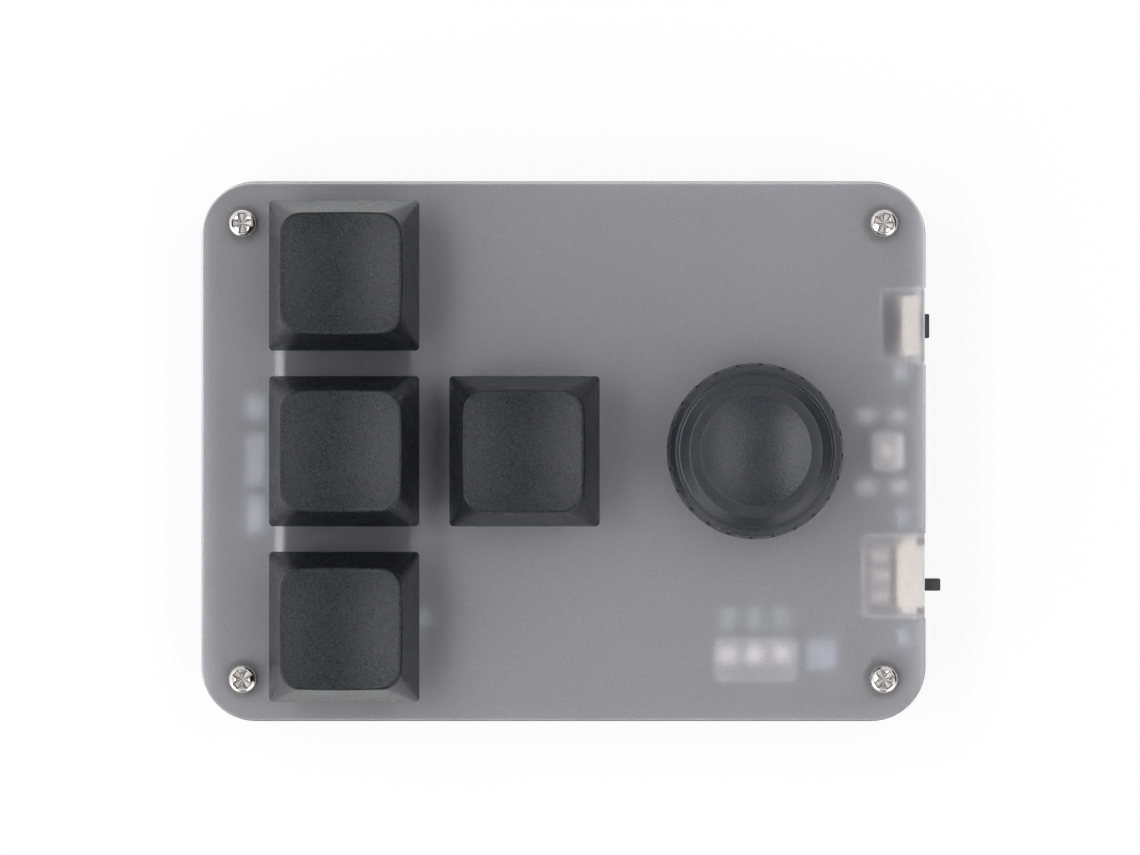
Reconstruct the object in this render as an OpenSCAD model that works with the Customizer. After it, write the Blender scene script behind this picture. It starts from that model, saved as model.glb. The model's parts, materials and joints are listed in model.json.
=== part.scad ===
// Mini mechanical keyboard: four keys, a push-and-turn knob, a side button and a slide switch in
// a frosted case. Millimetres, +Z up. The origin is the middle of the bounding box at the feet.

/* [Case] */
// Width of the lid, along X
case_w = 88; // [86:1:120]
// From a keycap to the lid's edge behind and in front of the column
key_margin = 2.5; // [2:0.1:8]
// Corner radius of the lid
corner_r = 6.4; // [5:0.2:9]
// Thickness of the lid
lid_t = 3; // [2.6:0.1:3.8]
// Width of the cut edge round the lid's top
edge_cut = 0.3; // [0.1:0.1:0.8]
// How far the base stands out past the lid on each side
base_step = 0.25; // [0.1:0.05:0.6]
// Hairline gap between the base's wall and the lid, which stands on its bosses
part_gap = 0.05; // [0.05:0.05:0.3]
// Wall of the base
wall_t = 2; // [1.6:0.1:2.4]
// Floor of the base
floor_t = 2; // [1.6:0.1:3]
// Height of the rubber feet below the base
foot_h = 1.5; // [1:0.1:4]
// Radius of a rubber foot
foot_r = 4; // [3:0.5:6]
// Distance of the screws from the lid's edges
screw_inset = 5; // [4.6:0.1:6]

/* [Keys] */
// From the lid's left edge to the middle of the key column
column_inset = 17.7; // [16:0.1:22]
// Distance between the keys of the column
key_pitch = 21.15; // [20:0.05:26]
// Gap between the keycaps of the column
cap_gap = 3; // [1:0.1:3.4]
// Gap between the column and the keycap beside it
side_gap = 3.55; // [1:0.05:4]
// How far a keycap's sides lean in between its lower edge and its rim, both sides together
cap_lean = 3.85; // [2.6:0.05:5]
// Height of a keycap
cap_h = 8; // [7.6:0.1:10]
// Depth of the dish in a keycap, from its rim's corners
dish_depth = 1.3; // [0.4:0.1:1.6]
// Wall of a keycap
cap_wall = 1.3; // [1:0.1:1.4]
// Travel of a key
key_travel = 4; // [3:0.1:4.6]

/* [Knob] */
// From the lid's right edge to the knob's axis
knob_inset = 20.9; // [19:0.1:23]
// Radius of the knob at its bevel's lower edge
knob_r = 10.25; // [9.4:0.05:11.5]
// Height of the knob
knob_h = 11.4; // [9:0.1:16]
// How far the knob's wall flares out below the bevel
flare = 0.3; // [0.1:0.05:0.5]
// Number of flutes round the knob
knob_flutes = 24; // [12:1:36]
// Depth of a flute
flute_deep = 0.18; // [0.1:0.02:0.3]
// Travel of the knob when it is pushed
knob_travel = 0.5; // [0.2:0.05:0.5]

/* [Right edge] */
// Place of the side button along Y
button_y = 15.3; // [13:0.1:17]
// How far the side button stands out of the lid's edge
button_out = 0.7; // [0.4:0.1:1.5]
// Travel of the side button
button_travel = 0.25; // [0.1:0.05:0.3]
// Place of the slide switch along Y
slide_y = -15.2; // [-17:0.1:-13]
// How far the slider stands out of the lid's edge
slider_out = 2.05; // [1.2:0.05:4]
// Travel of the slider
slide_travel = 2.2; // [1.5:0.1:2.2]

/* [Electronics] */
// Thickness of the circuit board
board_t = 1.6; // [1:0.2:2]
// Gap between the circuit board and the base's wall
board_gap = 0.3; // [0.2:0.1:0.8]
// Thickness of the battery
battery_t = 3.4; // [2.4:0.1:6]
// Room between the battery and what stands out below the circuit board
battery_gap = 0.4; // [0.2:0.1:2]
// Distance between the status lights
light_pitch = 3.3; // [2.6:0.1:3.4]

/* [Hidden] */
KEYS = [0, 1, 2, 3];
$fn = 64;
// Smallest step between faces that must not meet, and the overshoot of a through cut
tiny = 0.01;
over = 1;

// A key switch is made for a plate whose top lies this far above the board, and its pins and
// post reach this far below the board's top
switch_seat = 5;
pin_below = 3.3;

// Heights from the surface that the feet stand on
pad_t = 0.5;
base_z = foot_h;
floor_z = base_z + floor_t;
board_z = floor_z + pad_t + battery_t + battery_gap + pin_below - board_t;
board_top_z = board_z + board_t;
deck_z = board_top_z + switch_seat;
lid_z = deck_z - lid_t;

// The slider stands out on one side only, so the case lies off the middle of the bounding box
mid_x = -(slider_out - base_step) / 2;
edge_x = case_w / 2;
cap_w = key_pitch - cap_gap;
cap_top_w = cap_w - cap_lean;
case_d = 2 * key_pitch + cap_w + 2 * key_margin;
base_w = case_w + 2 * base_step;
base_d = case_d + 2 * base_step;
base_r = corner_r + base_step;
bay_w = base_w - 2 * wall_t;
bay_d = base_d - 2 * wall_t;
bay_r = base_r - wall_t;
base_cut = 0.8;
wall_h = lid_z - part_gap - base_z;

// Places of the keys, the knob, the screws and the feet
column_x = column_inset - case_w / 2;
key_at = [
  [column_x, key_pitch],
  [column_x, 0],
  [column_x, -key_pitch],
  [column_x + cap_w + side_gap, 0]
];
knob_x = edge_x - knob_inset;
screw_at = [case_w / 2 - screw_inset, case_d / 2 - screw_inset];
foot_at = [case_w / 2 - 10, case_d / 2 - 9.5];
foot_sink = 0.5;

// Lid screws, M2 by 10 with pan heads, and their inserts
screw_r = 0.95;
screw_hole_r = 1.15;
screw_l = 10;
head_r = 1.68;
head_h = 1.3;
head_dome_r = 2.3;
recess_span = 2.5;
recess_w = 0.76;
recess_well_r = 0.66;
recess_deep = 0.8;
screw_turns = [2, -20, 45, 36];
insert_r = 1.6;
insert_bore_r = 1;
insert_h = 4;
insert_groove = [0.25, 0.5];
insert_fit = 0.02;
boss_r = 3.6;
lid_boss_r = 2.4;

// Pockets in the lid's underside: a key grips lid that is this thick
grip_t = 1.5;
key_hole_w = 14;
key_pocket_w = 17.3;
pocket_r = 1;
pocket_roof = 1.2;
light_pocket = [10.2, 5.2];
light_pocket_dy = -0.45;
charge_pocket = [3.9, 4.9];
charge_pocket_dx = -0.1;

// Key switch, measured from the lid's top
housing_w = 13.9;
flange_w = 15.6;
flange_t = 1;
cavity_w = 12.3;
cavity_floor = 1;
clip_w = 4;
clip_out = 0.35;
clip_h = 1.6;
post_r = 2;
post_bore_r = 1.4;
post_floor = 1;
peg_r = 0.85;
peg_x = 5.08;
seat_ring_r = 3;
seat_bore_r = 2.45;
top_low_w = 14.6;
top_high_w = [11.6, 11.2];
top_wall = 0.85;
top_h = 6.6;
roof_t = 1.2;
top_skirt_w = 12.1;
top_skirt_h = 1.5;
top_skirt_t = 0.7;
opening = [7.5, 6.3];
stem_w = [7.2, 6];
stem_low = 1.1;
stem_roof_z = 4.6;
stem_bore_r = 2.55;
stop_gap = 0.2;
seat_ring_h = stem_low - key_travel - stop_gap + switch_seat - cavity_floor;
wing_w = [9.2, 3];
wing_gap = 0.1;
rod_r = 1.2;
rod_low = -2.5;
cross_arm = [4, 1.2];
cross_h = 3.6;
spring_r = 2.05;
wire_r = 0.2;
spring_turns = 10;
pin_at = [[-3.81, 2.54], [2.54, 5.08]];
pin_w = [1, 0.4];
leaf_t = 0.3;
leaf_w = 3;
leaf_top = -0.6;
leaf_gap = 0.6;
leaf_share = 0.7;
pin_hole_r = 0.75;
solder_r = [0.55, 1.1];
solder_h = 0.9;

// Keycap, measured from its lower edge
cap_lift = top_h - 0.3;
cap_low_r = 0.5;
cap_top_r = 2.5;
cap_roof_t = 1.5;
// The rim's corners are the farthest points of the top from its middle, and the dish runs a
// little past them, so that it cuts the whole rim
dish_past = 0.05;
rim_r = (cap_top_w / 2 - cap_top_r) * sqrt(2) + cap_top_r + dish_past;
dish_r = (rim_r * rim_r + dish_depth * dish_depth) / (2 * dish_depth);
socket_r = 2.75;
socket_fit = 0.03;
socket_spare = 0.2;
cap_ceiling = cap_h - dish_depth - cap_roof_t;

// Knob, measured from its lower edge
knob_lift = 2.2;
crown_h = 1.5;
crown_low_r = knob_r - 1.17;
crown_top_r = knob_r - 2.28;
bevel_h = 0.7;
flare_h = 2;
flare_lean = atan(flare / flare_h);
flute_r = 0.35;
flute_lift = 0.3;
flute_phase = -3;
knob_dish_r = knob_r - 3.65;
knob_dish_deep = 1.1;
knob_ball_r = (knob_dish_r * knob_dish_r + knob_dish_deep * knob_dish_deep) / (2 * knob_dish_deep);
knob_wall = 1.6;
knob_hub_r = 5;
knob_roof = 3;
knob_edge = 0.3;
// Two steps at the crown's foot: how far each lies inside the bevel's lower edge, and its height
foot_step = [0.59, 0.12];
crown_step = [0.95, 0.2];
crown_step_rise = 0.05;
bushing_gap = 0.5;
shaft_gap = 0.6;

// Encoder, measured from the board's top
enc_w = 11.8;
enc_plate = [12.2, 12.9];
enc_base_h = 6;
enc_plate_t = 0.5;
enc_hole_gap = 0.3;
bushing_r = 3.5;
bushing_top = 11.3;
bushing_flange = [4.6, 0.6];
bushing_edge = 0.4;
shaft_r = 3;
shaft_fit = 0.04;
shaft_top = switch_seat + knob_lift + knob_h - knob_roof - shaft_gap;
shaft_step_z = enc_base_h - 0.1;
neck_r = 1.9;
neck_low = 1.4;
neck_flat = 1.4;
shaft_flat = 1.5;
shaft_flat_l = 6;
rotor_r = 5;
rotor_z = 1.25;
rotor_disc_t = 1.6;
rotor_top = 5.2;
rotor_hub_r = 3.4;
rotor_room_r = 5.2;
dome_room_z = 0.3;
dome_room_r = 2.2;
enc_pin_w = [0.3, 0.9];
enc_pin_z = 0.8;
enc_pin_x = 7.2;
enc_pin_at = [
  [-enc_pin_x, -2.5], [-enc_pin_x, 0], [-enc_pin_x, 2.5], [enc_pin_x, -2.5], [enc_pin_x, 2.5]
];
enc_pin_below = 2.8;
enc_pin_hole_r = 0.6;
leg_w = 2.4;
leg_hole = [2.8, 1];
flap_w = 8;
dome_t = 0.1;
dome_rise = 0.5;
dome_play = 0.3;

// Parts on the right edge, measured from the board's top and the lid's edge
part_h = 3.4;
button_x = [-2.72, -0.49];
button_w = 7.25;
button_stem = [2.95, 1.5];
button_notch = [5.6, 9.4];
button_wall = 0.4;
button_room = [4.2, 2.4];
button_flange = [0.4, 3.9, 2.2];
button_stop = 0.02;
button_dome_play = 0.1;
button_lead_y = 2.5;
button_lead = [0.7, 0.9, 0.15];
button_lead_h = 1.6;
slide_x = [-3.3, 0.08];
slide_w = 7.64;
slide_tab_x = [-2.72, -0.9];
slide_tab_w = 9.24;
slide_notch = [7.6, 10.4];
slide_wall = 0.58;
slide_stem = 1.5;
slide_block = [1.6, 3.6, 2];
slide_room_back = -2.9;
slide_clip = [0.2, 3, 1.2];
slide_lead_pitch = 2.5;
slide_lead = [2.9, 1.1];
slide_lead_h = 0.9;
lead_t = 0.25;
play = 0.05;
notch_gap = 0.3;
button_tab_back = 0.7;
slide_tab_back = 0.2;
stem_corner_r = 0.2;

// USB-C socket, measured from the board's underside and the lid's edge
usb_size = [7.35, 8.94, 3.26];
usb_back = 0.05;
usb_wall = 0.3;
usb_stakes = [-2.7, -6.94];
usb_stake_w = 0.9;
usb_tongue_size = [4.7, 6.7, 0.7];
usb_tongue_back = 1.1;
usb_block_l = 1.6;
usb_hole_gap = 0.2;
usb_slot_gap = 0.1;
usb_block_fit = 0.01;
usb_mound = [1, 0.5];

// Lights, from the lid's right and lower edges
light_mid = [20.6, 7.85];
light_size = [2, 2, 0.8];
light_cup = [0.75, 0.3];
charge_back = 4.4;
charge_size = [0.8, 1.6, 0.6];

// Parts under the board
module_at = [edge_x - 35, 14];
module_size = [13.2, 16.6, 0.8];
shield_size = [11.6, 11.6, 1.7];
shield_in = 0.8;
battery_size = [34, 42];
battery_x = column_x + 6.5;
battery_end = battery_x + battery_size.x / 2;
battery_r = 1.5;
battery_tab = [2.5, 28, 1.2];
pad_in = 4;
socket_size = [4.2, 5, 3.4];
socket_at = [key_at[3].x + 12.6, 0];
plug_size = [4.6, 3.8, 2.1];
plug_in = 3;
lead_r = 0.45;
lead_pitch = 1.25;
lead_spread = 1.6;
lead_rings = 12;
lead_from = [battery_end + battery_tab.x, floor_z + pad_t + battery_t / 4 + battery_tab.z / 2];
lead_to = [socket_at.x - socket_size.x / 2 + plug_in - plug_size.x, board_z - socket_size.z / 2];
diode_size = [2.7, 1.6, 1.1];
diode_dy = -7.6;
diode_leads = [3.7, 0.6, 0.3];
coil_size = [2.9, 1.6, 1.1];
coil_at = [[edge_x - 14, -14], [edge_x - 14, -19]];
capacitor_size = [0.8, 1.6, 0.8];
capacitor_at = [for (k = [0:5]) [edge_x - 30 + 2 * k, -14]];
resistor_size = [1.6, 0.8, 0.5];
resistor_at = [for (k = [0:3]) [edge_x - 10, 8 + 2 * k]];

// Moves a piece with the case, which lies off the middle of the bounding box
module in_place() {
  translate([mid_x, 0, 0]) children();
}

// A rectangle with round corners
module rounded_square(x, y, r) {
  square([x - 2 * r, y], center = true);
  square([x, y - 2 * r], center = true);
  for (i = [-1, 1], j = [-1, 1])
    translate([i * (x / 2 - r), j * (y / 2 - r)]) circle(r);
}

// A plate with round corners, whose edge is cut back at 45 degrees over the last part of its height
module cut_plate(x, y, t, r, cut) {
  linear_extrude(t - cut) rounded_square(x, y, r);
  translate([0, 0, t - cut]) {
    for (i = [-1, 1], j = [-1, 1])
      translate([i * (x / 2 - r), j * (y / 2 - r), 0]) cylinder(h = cut, r1 = r, r2 = r - cut);
    rotate([90, 0, 90]) translate([0, 0, r - x / 2]) linear_extrude(x - 2 * r) cut_section(y, cut);
    rotate([90, 0, 0]) translate([0, 0, r - y / 2]) linear_extrude(y - 2 * r) cut_section(x, cut);
  }
}

module cut_section(w, cut) {
  polygon([[-w / 2, 0], [w / 2, 0], [w / 2 - cut, cut], [cut - w / 2, cut]]);
}

// A box given by its lowest corner and its size
module box(at, size) {
  translate(at) cube(size);
}

// A box whose middle lies at at in X and Y, and which rises from z by its height
module block(size, z = 0, at = [0, 0]) {
  translate([at.x - size.x / 2, at.y - size.y / 2, z]) cube(size);
}

module at_screws() {
  for (i = [-1, 1], j = [-1, 1])
    translate([i * screw_at.x, j * screw_at.y, 0]) children();
}

// The keys, from the column's upper key down, then the key beside it
module at_key(i) {
  in_place() translate([key_at[i].x, key_at[i].y, deck_z]) children();
}

// Joins rings of points, each with the same number of them, into one closed tube of triangles
module ring_tube(rings) {
  sides = len(rings[0]);
  last = len(rings) - 1;
  points = [for (ring = rings) for (p = ring) p];
  walls = [
    for (k = [0:last - 1]) for (s = [0:sides - 1])
      let (a = k * sides + s, b = k * sides + (s + 1) % sides)
        for (f = [[a, b, a + sides], [b, b + sides, a + sides]]) f
  ];
  low_cap = [for (s = [1:sides - 2]) [0, s + 1, s]];
  high_cap = [for (s = [1:sides - 2]) [0, s, s + 1] + [1, 1, 1] * last * sides];
  polyhedron(points = points, faces = concat(walls, low_cap, high_cap), convexity = 10);
}

// A thin dome that stands on its rim, with its top at height h
module snap_dome(r, h, t) {
  ball_r = (r * r + h * h) / (2 * h);
  difference() {
    translate([0, 0, h - ball_r]) sphere(ball_r);
    translate([0, 0, h - ball_r]) sphere(ball_r - t);
    translate([0, 0, -2 * ball_r]) cylinder(h = 2 * ball_r, r = 2 * ball_r);
  }
}

// Case

module base_shell() in_place() color("gray", 0.8) difference() {
  union() {
    difference() {
      translate([0, 0, base_z + wall_h]) mirror([0, 0, 1])
        cut_plate(base_w, base_d, wall_h, base_r, base_cut);
      translate([0, 0, floor_z]) linear_extrude(lid_z) rounded_square(bay_w, bay_d, bay_r);
    }
    at_screws() translate([0, 0, floor_z - tiny]) cylinder(h = board_z - floor_z + tiny, r = boss_r);
  }
  at_screws() {
    translate([0, 0, board_z - insert_h]) cylinder(h = insert_h + over, r = insert_r + insert_fit);
    translate([0, 0, floor_z]) cylinder(h = board_z, r = screw_hole_r);
  }
  for (i = [-1, 1], j = [-1, 1])
    translate([i * foot_at.x, j * foot_at.y, base_z - over])
      cylinder(h = foot_sink + over, r = foot_r + insert_fit);
  wall_notch(button_notch, button_y);
  wall_notch(slide_notch, slide_y);
  translate([edge_x - usb_back, 0, board_z - usb_size.z / 2])
    usb_oval(2 * wall_t + over, usb_hole_gap, -wall_t - over);
}

// The notch in the right wall for a part that stands on the board
module wall_notch(size, y) {
  box([edge_x + base_step - wall_t - over, y - size.y / 2, board_z - notch_gap],
    [wall_t + 2 * over, size.y, wall_h]);
}

module top_lid() in_place() color("gray", 0.6) difference() {
  union() {
    translate([0, 0, lid_z]) cut_plate(case_w, case_d, lid_t, corner_r, edge_cut);
    at_screws() translate([0, 0, board_top_z])
      cylinder(h = switch_seat - lid_t / 2, r = lid_boss_r);
  }
  at_screws() translate([0, 0, board_z]) cylinder(h = deck_z, r = screw_hole_r);
  for (at = key_at) block([key_hole_w, key_hole_w, deck_z + over], 0, at);
  translate([column_x, 0, 0]) lid_pocket([key_pocket_w, key_pocket_w + 2 * key_pitch], grip_t);
  translate([key_at[3].x, key_at[3].y, 0]) lid_pocket([key_pocket_w, key_pocket_w], grip_t);
  translate([edge_x - button_notch.x / 2 + pocket_r, button_y, 0])
    lid_pocket(button_notch + [2 * pocket_r, 0], pocket_roof);
  translate([edge_x - slide_notch.x / 2 + pocket_r, slide_y, 0])
    lid_pocket(slide_notch + [2 * pocket_r, 0], pocket_roof);
  translate([edge_x - light_mid.x, light_mid.y - case_d / 2 + light_pocket_dy, 0])
    lid_pocket(light_pocket, pocket_roof);
  translate([edge_x - charge_back + charge_pocket_dx, 0, 0]) lid_pocket(charge_pocket, pocket_roof);
  block([enc_plate.x + 2 * enc_hole_gap, enc_plate.y + 2 * enc_hole_gap, deck_z + over], 0,
    [knob_x, 0]);
}

// A pocket from below that leaves the given thickness of lid
module lid_pocket(size, left) {
  translate([0, 0, lid_z - over]) linear_extrude(lid_t - left + over)
    rounded_square(size.x, size.y, pocket_r);
}

module lid_screws() in_place() color("silver")
  for (i = [0:3])
    translate([[-1, 1][i % 2] * screw_at.x, [1, -1][floor(i / 2)] * screw_at.y, deck_z])
      rotate([0, 0, screw_turns[i]]) pan_screw();

module pan_screw() {
  translate([0, 0, -screw_l]) cylinder(h = screw_l + tiny, r = screw_r);
  difference() {
    intersection() {
      cylinder(h = head_h, r = head_r);
      translate([0, 0, head_h - head_dome_r]) sphere(head_dome_r);
    }
    translate([0, 0, head_h - recess_deep]) {
      cylinder(h = recess_deep + tiny, r1 = recess_w / 2, r2 = recess_well_r);
      intersection() {
        cylinder(h = recess_deep + tiny, r1 = recess_span / 3, r2 = recess_span / 2);
        for (turn = [0, 90]) rotate([0, 0, turn]) block([recess_span + over, recess_w, head_h]);
      }
    }
  }
}

module threaded_inserts() in_place() color("goldenrod") at_screws()
  translate([0, 0, board_z - insert_h]) rotate_extrude() difference() {
    translate([insert_bore_r, 0]) square([insert_r - insert_bore_r, insert_h]);
    for (k = [1, 2]) translate([insert_r - insert_groove.x, (k * insert_h - insert_groove.y) / 3])
      square([1, insert_groove.y]);
  }

module rubber_feet() in_place() color("black")
  for (i = [-1, 1], j = [-1, 1])
    translate([i * foot_at.x, j * foot_at.y, 0]) {
      cylinder(h = foot_sink, r1 = foot_r - foot_sink, r2 = foot_r);
      translate([0, 0, foot_sink]) cylinder(h = foot_h, r = foot_r);
    }

// Circuit board

module circuit_board() in_place() color("darkslategray") difference() {
  union() {
    translate([0, 0, board_z]) linear_extrude(board_t)
      rounded_square(bay_w - 2 * board_gap, bay_d - 2 * board_gap, bay_r - board_gap);
    board_tab(button_notch, button_y, button_tab_back);
    board_tab(slide_notch, slide_y, slide_tab_back);
  }
  at_screws() board_hole(screw_hole_r);
  for (at = key_at) translate([at.x, at.y, 0]) {
    board_hole(post_r + play);
    for (i = [-1, 1]) translate([i * peg_x, 0, 0]) board_hole(peg_r + play);
    for (pin = pin_at) translate([pin.x, pin.y, 0]) board_hole(pin_hole_r);
  }
  translate([knob_x, 0, 0]) {
    for (pin = enc_pin_at) translate([pin.x, pin.y, 0]) board_hole(enc_pin_hole_r);
    for (j = [-1, 1])
      block([leg_hole.x, leg_hole.y, board_t + 2 * over], board_z - over,
        [0, j * (enc_plate.y - enc_plate_t) / 2]);
  }
  for (x = usb_stakes, j = [-1, 1])
    block([usb_stake_w + 2 * usb_slot_gap, usb_wall + 2 * usb_slot_gap, board_t + 2 * over],
      board_z - over, [edge_x + x, j * (usb_size.y - usb_wall) / 2]);
}

module board_hole(r) {
  translate([0, 0, board_z - over]) cylinder(h = board_t + 2 * over, r = r);
}

// The board reaches out through the wall's notch, under the part that stands there
module board_tab(size, y, back) {
  block([size.x, size.y - 2 * notch_gap, board_t], board_z, [edge_x - back - size.x / 2, y]);
}

// Key switches

module keycap(i) at_key(i) translate([0, 0, cap_lift]) color([0.2, 0.2, 0.21]) {
  difference() {
    cap_block(cap_w, cap_top_w, cap_h);
    translate([0, 0, cap_h - dish_depth + dish_r]) sphere(dish_r, $fn = 128);
    difference() {
      translate([0, 0, -tiny]) cap_block(cap_w - 2 * cap_wall, cap_top_w - 2 * cap_wall, cap_h);
      block([cap_w, cap_w, cap_h], cap_ceiling);
    }
  }
  difference() {
    translate([0, 0, top_h - cap_lift])
      cylinder(h = cap_ceiling - top_h + cap_lift + cap_roof_t / 2, r = socket_r);
    cross(socket_fit, top_h - cap_lift + cross_h + socket_spare);
  }
}

// A square block with near sharp lower corners that run up into a round-cornered rim
module cap_block(low_w, high_w, h) {
  hull() {
    linear_extrude(tiny) rounded_square(low_w, low_w, cap_low_r, $fn = 16);
    translate([0, 0, h - tiny]) linear_extrude(tiny) rounded_square(high_w, high_w, cap_top_r, $fn = 48);
  }
}

module cross(fit, h) {
  for (turn = [0, 90]) rotate([0, 0, turn]) block([cross_arm.x + 2 * fit, cross_arm.y + 2 * fit, h]);
}

module switch_stem(i) at_key(i) color("saddlebrown") difference() {
  union() {
    block([stem_w.x, stem_w.y, top_h - stem_low], stem_low);
    block([wing_w.x, wing_w.y, top_h - roof_t - wing_gap - stem_low], stem_low);
    translate([0, 0, top_h - tiny]) cross(0, cross_h + tiny);
    translate([0, 0, rod_low]) cylinder(h = top_h - rod_low - roof_t, r = rod_r);
  }
  difference() {
    translate([0, 0, stem_low - over]) cylinder(h = stem_roof_z - stem_low + over, r = stem_bore_r);
    cylinder(h = top_h, r = rod_r);
  }
}

module switch_spring(i) at_key(i) color("silver") {
  low = cavity_floor - switch_seat + wire_r;
  rise = stem_roof_z - wire_r - low;
  steps = 8 * spring_turns;
  ring_tube([
    for (k = [0:steps]) let (turn = 360 * k / 8) [
      for (a = [0:60:300]) let (r = spring_r + wire_r * cos(a))
        [r * cos(turn), r * sin(turn), low + rise * k / steps + wire_r * sin(a)]
    ]
  ]);
}

module switch_top(i) at_key(i) color("black") difference() {
  skirt_in_w = top_skirt_w - 2 * top_skirt_t;
  union() {
    hull() {
      block([top_low_w, top_low_w, tiny], flange_t);
      block([top_high_w.x, top_high_w.y, tiny], top_h - tiny);
    }
    block([top_skirt_w, top_skirt_w, top_skirt_h + tiny], flange_t - top_skirt_h);
  }
  hull() {
    block([skirt_in_w, skirt_in_w, tiny], flange_t);
    block([top_high_w.x - 2 * top_wall, top_high_w.y - 2 * top_wall, tiny], top_h - roof_t - tiny);
  }
  block([skirt_in_w, skirt_in_w, 2 * top_skirt_h], flange_t - 2 * top_skirt_h + tiny);
  block([opening.x, opening.y, 2 * roof_t], top_h - 1.5 * roof_t);
}

module switch_base(i) at_key(i) color([0.12, 0.12, 0.13]) {
  difference() {
    union() {
      block([housing_w, housing_w, switch_seat], -switch_seat);
      block([flange_w, flange_w, flange_t]);
      for (turn = [0, 180]) rotate([0, 0, turn]) plate_clip();
      translate([0, 0, -switch_seat - pin_below]) cylinder(h = pin_below + cavity_floor / 2, r = post_r);
      for (j = [-1, 1]) translate([j * peg_x, 0, -switch_seat - pin_below])
        cylinder(h = pin_below + cavity_floor / 2, r = peg_r);
    }
    block([cavity_w, cavity_w, switch_seat + over], cavity_floor - switch_seat);
    translate([0, 0, post_floor - switch_seat - pin_below]) cylinder(h = switch_seat, r = post_bore_r);
    for (pin = pin_at)
      block([pin_w.x + 2 * play, pin_w.y + 2 * play, 2 * switch_seat], -1.5 * switch_seat, pin);
  }
  translate([0, 0, cavity_floor - switch_seat - tiny]) difference() {
    cylinder(h = seat_ring_h + tiny, r = seat_ring_r);
    translate([0, 0, -over]) cylinder(h = seat_ring_h + 2 * over, r = seat_bore_r);
  }
}

// The wedge that snaps under the lid at one side of its cut-out
module plate_clip() {
  translate([-clip_w / 2, 0, 0]) rotate([90, 0, 90]) linear_extrude(clip_w)
    polygon([
      [housing_w / 2 - over, -grip_t], [key_hole_w / 2 + clip_out, -grip_t],
      [housing_w / 2, -grip_t - clip_h], [housing_w / 2 - over, -grip_t - clip_h]
    ]);
}

// Two blades that stand on the switch's floor, with pins soldered into the board
module switch_contacts(i) at_key(i) color("goldenrod") {
  low = cavity_floor - switch_seat;
  for (pin = pin_at) {
    leaf_y = max(pin.y, stem_w.y / 2 + leaf_gap);
    block([pin_w.x, pin_w.y, pin_below + cavity_floor + leaf_t], -switch_seat - pin_below, pin);
    block([pin_w.x, leaf_y - pin.y + leaf_t, leaf_t], low, [pin.x, (pin.y + leaf_y) / 2]);
    block([leaf_w, leaf_t, leaf_top - low], low, [pin.x * leaf_share, leaf_y]);
    translate([pin.x, pin.y, -switch_seat - board_t - solder_h])
      cylinder(h = solder_h, r1 = solder_r[0], r2 = solder_r[1]);
  }
}

// Encoder and knob

module at_knob(z) {
  in_place() translate([knob_x, 0, z]) children();
}

module knob() at_knob(deck_z + knob_lift) color([0.22, 0.22, 0.23]) difference() {
  rotate_extrude($fn = 128) knob_section();
  for (k = [0:knob_flutes - 1]) rotate([0, 0, flute_phase + 360 * k / knob_flutes]) flute_cut();
  translate([0, 0, knob_h - knob_dish_deep + knob_ball_r]) sphere(knob_ball_r, $fn = 128);
  d_shaft(shaft_r + play, shaft_flat + play, knob_h - knob_roof);
}

// Half section of the knob: wall, flare, bevel, the crown on its two steps and the hollow round the hub
module knob_section() {
  shoulder = knob_h - crown_h;
  wall_r = knob_r + flare;
  foot_z = shoulder + foot_step.y;
  step_z = foot_z + crown_step.y;
  hollow_z = shoulder - knob_wall;
  mouth_h = bushing_top - switch_seat - knob_lift + knob_travel + bushing_gap;
  difference() {
    polygon([
      [0, 0], [wall_r - knob_edge, 0], [wall_r, knob_edge], [wall_r, shoulder - bevel_h - flare_h],
      [knob_r, shoulder - bevel_h], [knob_r - foot_step.x, shoulder], [knob_r - foot_step.x, foot_z],
      [knob_r - crown_step.x, foot_z], [knob_r - crown_step.x, step_z],
      [crown_low_r, step_z + crown_step_rise], [crown_top_r, knob_h], [0, knob_h]
    ]);
    translate([knob_hub_r, -over]) square([knob_r - knob_wall - knob_hub_r, hollow_z + over]);
    translate([-over, -over]) square([knob_hub_r + 2 * over, mouth_h + over]);
  }
}

// A flute runs up the flare, keeps its depth and bites into the bevel's lower edge
module flute_cut() {
  translate([knob_r + flare + flute_r - flute_deep, 0, knob_h - crown_h - bevel_h - flare_h])
    rotate([0, -flare_lean, 0])
      translate([0, 0, flute_lift]) cylinder(h = crown_h + bevel_h + flare_h, r = flute_r, $fn = 32);
}

// A round shaft with a flat on its +Y side
module d_shaft(r, flat, h) {
  difference() {
    cylinder(h = h, r = r);
    block([2 * r + over, r, h + 2 * over], -over, [0, flat + r / 2]);
  }
}

module encoder_shaft() at_knob(board_top_z) color("silver") {
  translate([0, 0, neck_low]) d_shaft(neck_r, neck_flat, shaft_step_z - neck_low + tiny);
  difference() {
    translate([0, 0, shaft_step_z]) cylinder(h = shaft_top - shaft_step_z, r = shaft_r);
    block([2 * shaft_r + over, shaft_r, shaft_flat_l + over], shaft_top - shaft_flat_l,
      [0, shaft_flat + shaft_r / 2]);
  }
}

module encoder_rotor() at_knob(board_top_z) color("white") difference() {
  union() {
    translate([0, 0, rotor_z]) cylinder(h = rotor_disc_t, r = rotor_r);
    translate([0, 0, rotor_z]) cylinder(h = rotor_top - rotor_z, r = rotor_hub_r);
  }
  translate([0, 0, rotor_z - over]) d_shaft(neck_r + play, neck_flat + play, rotor_top + over);
}

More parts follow.
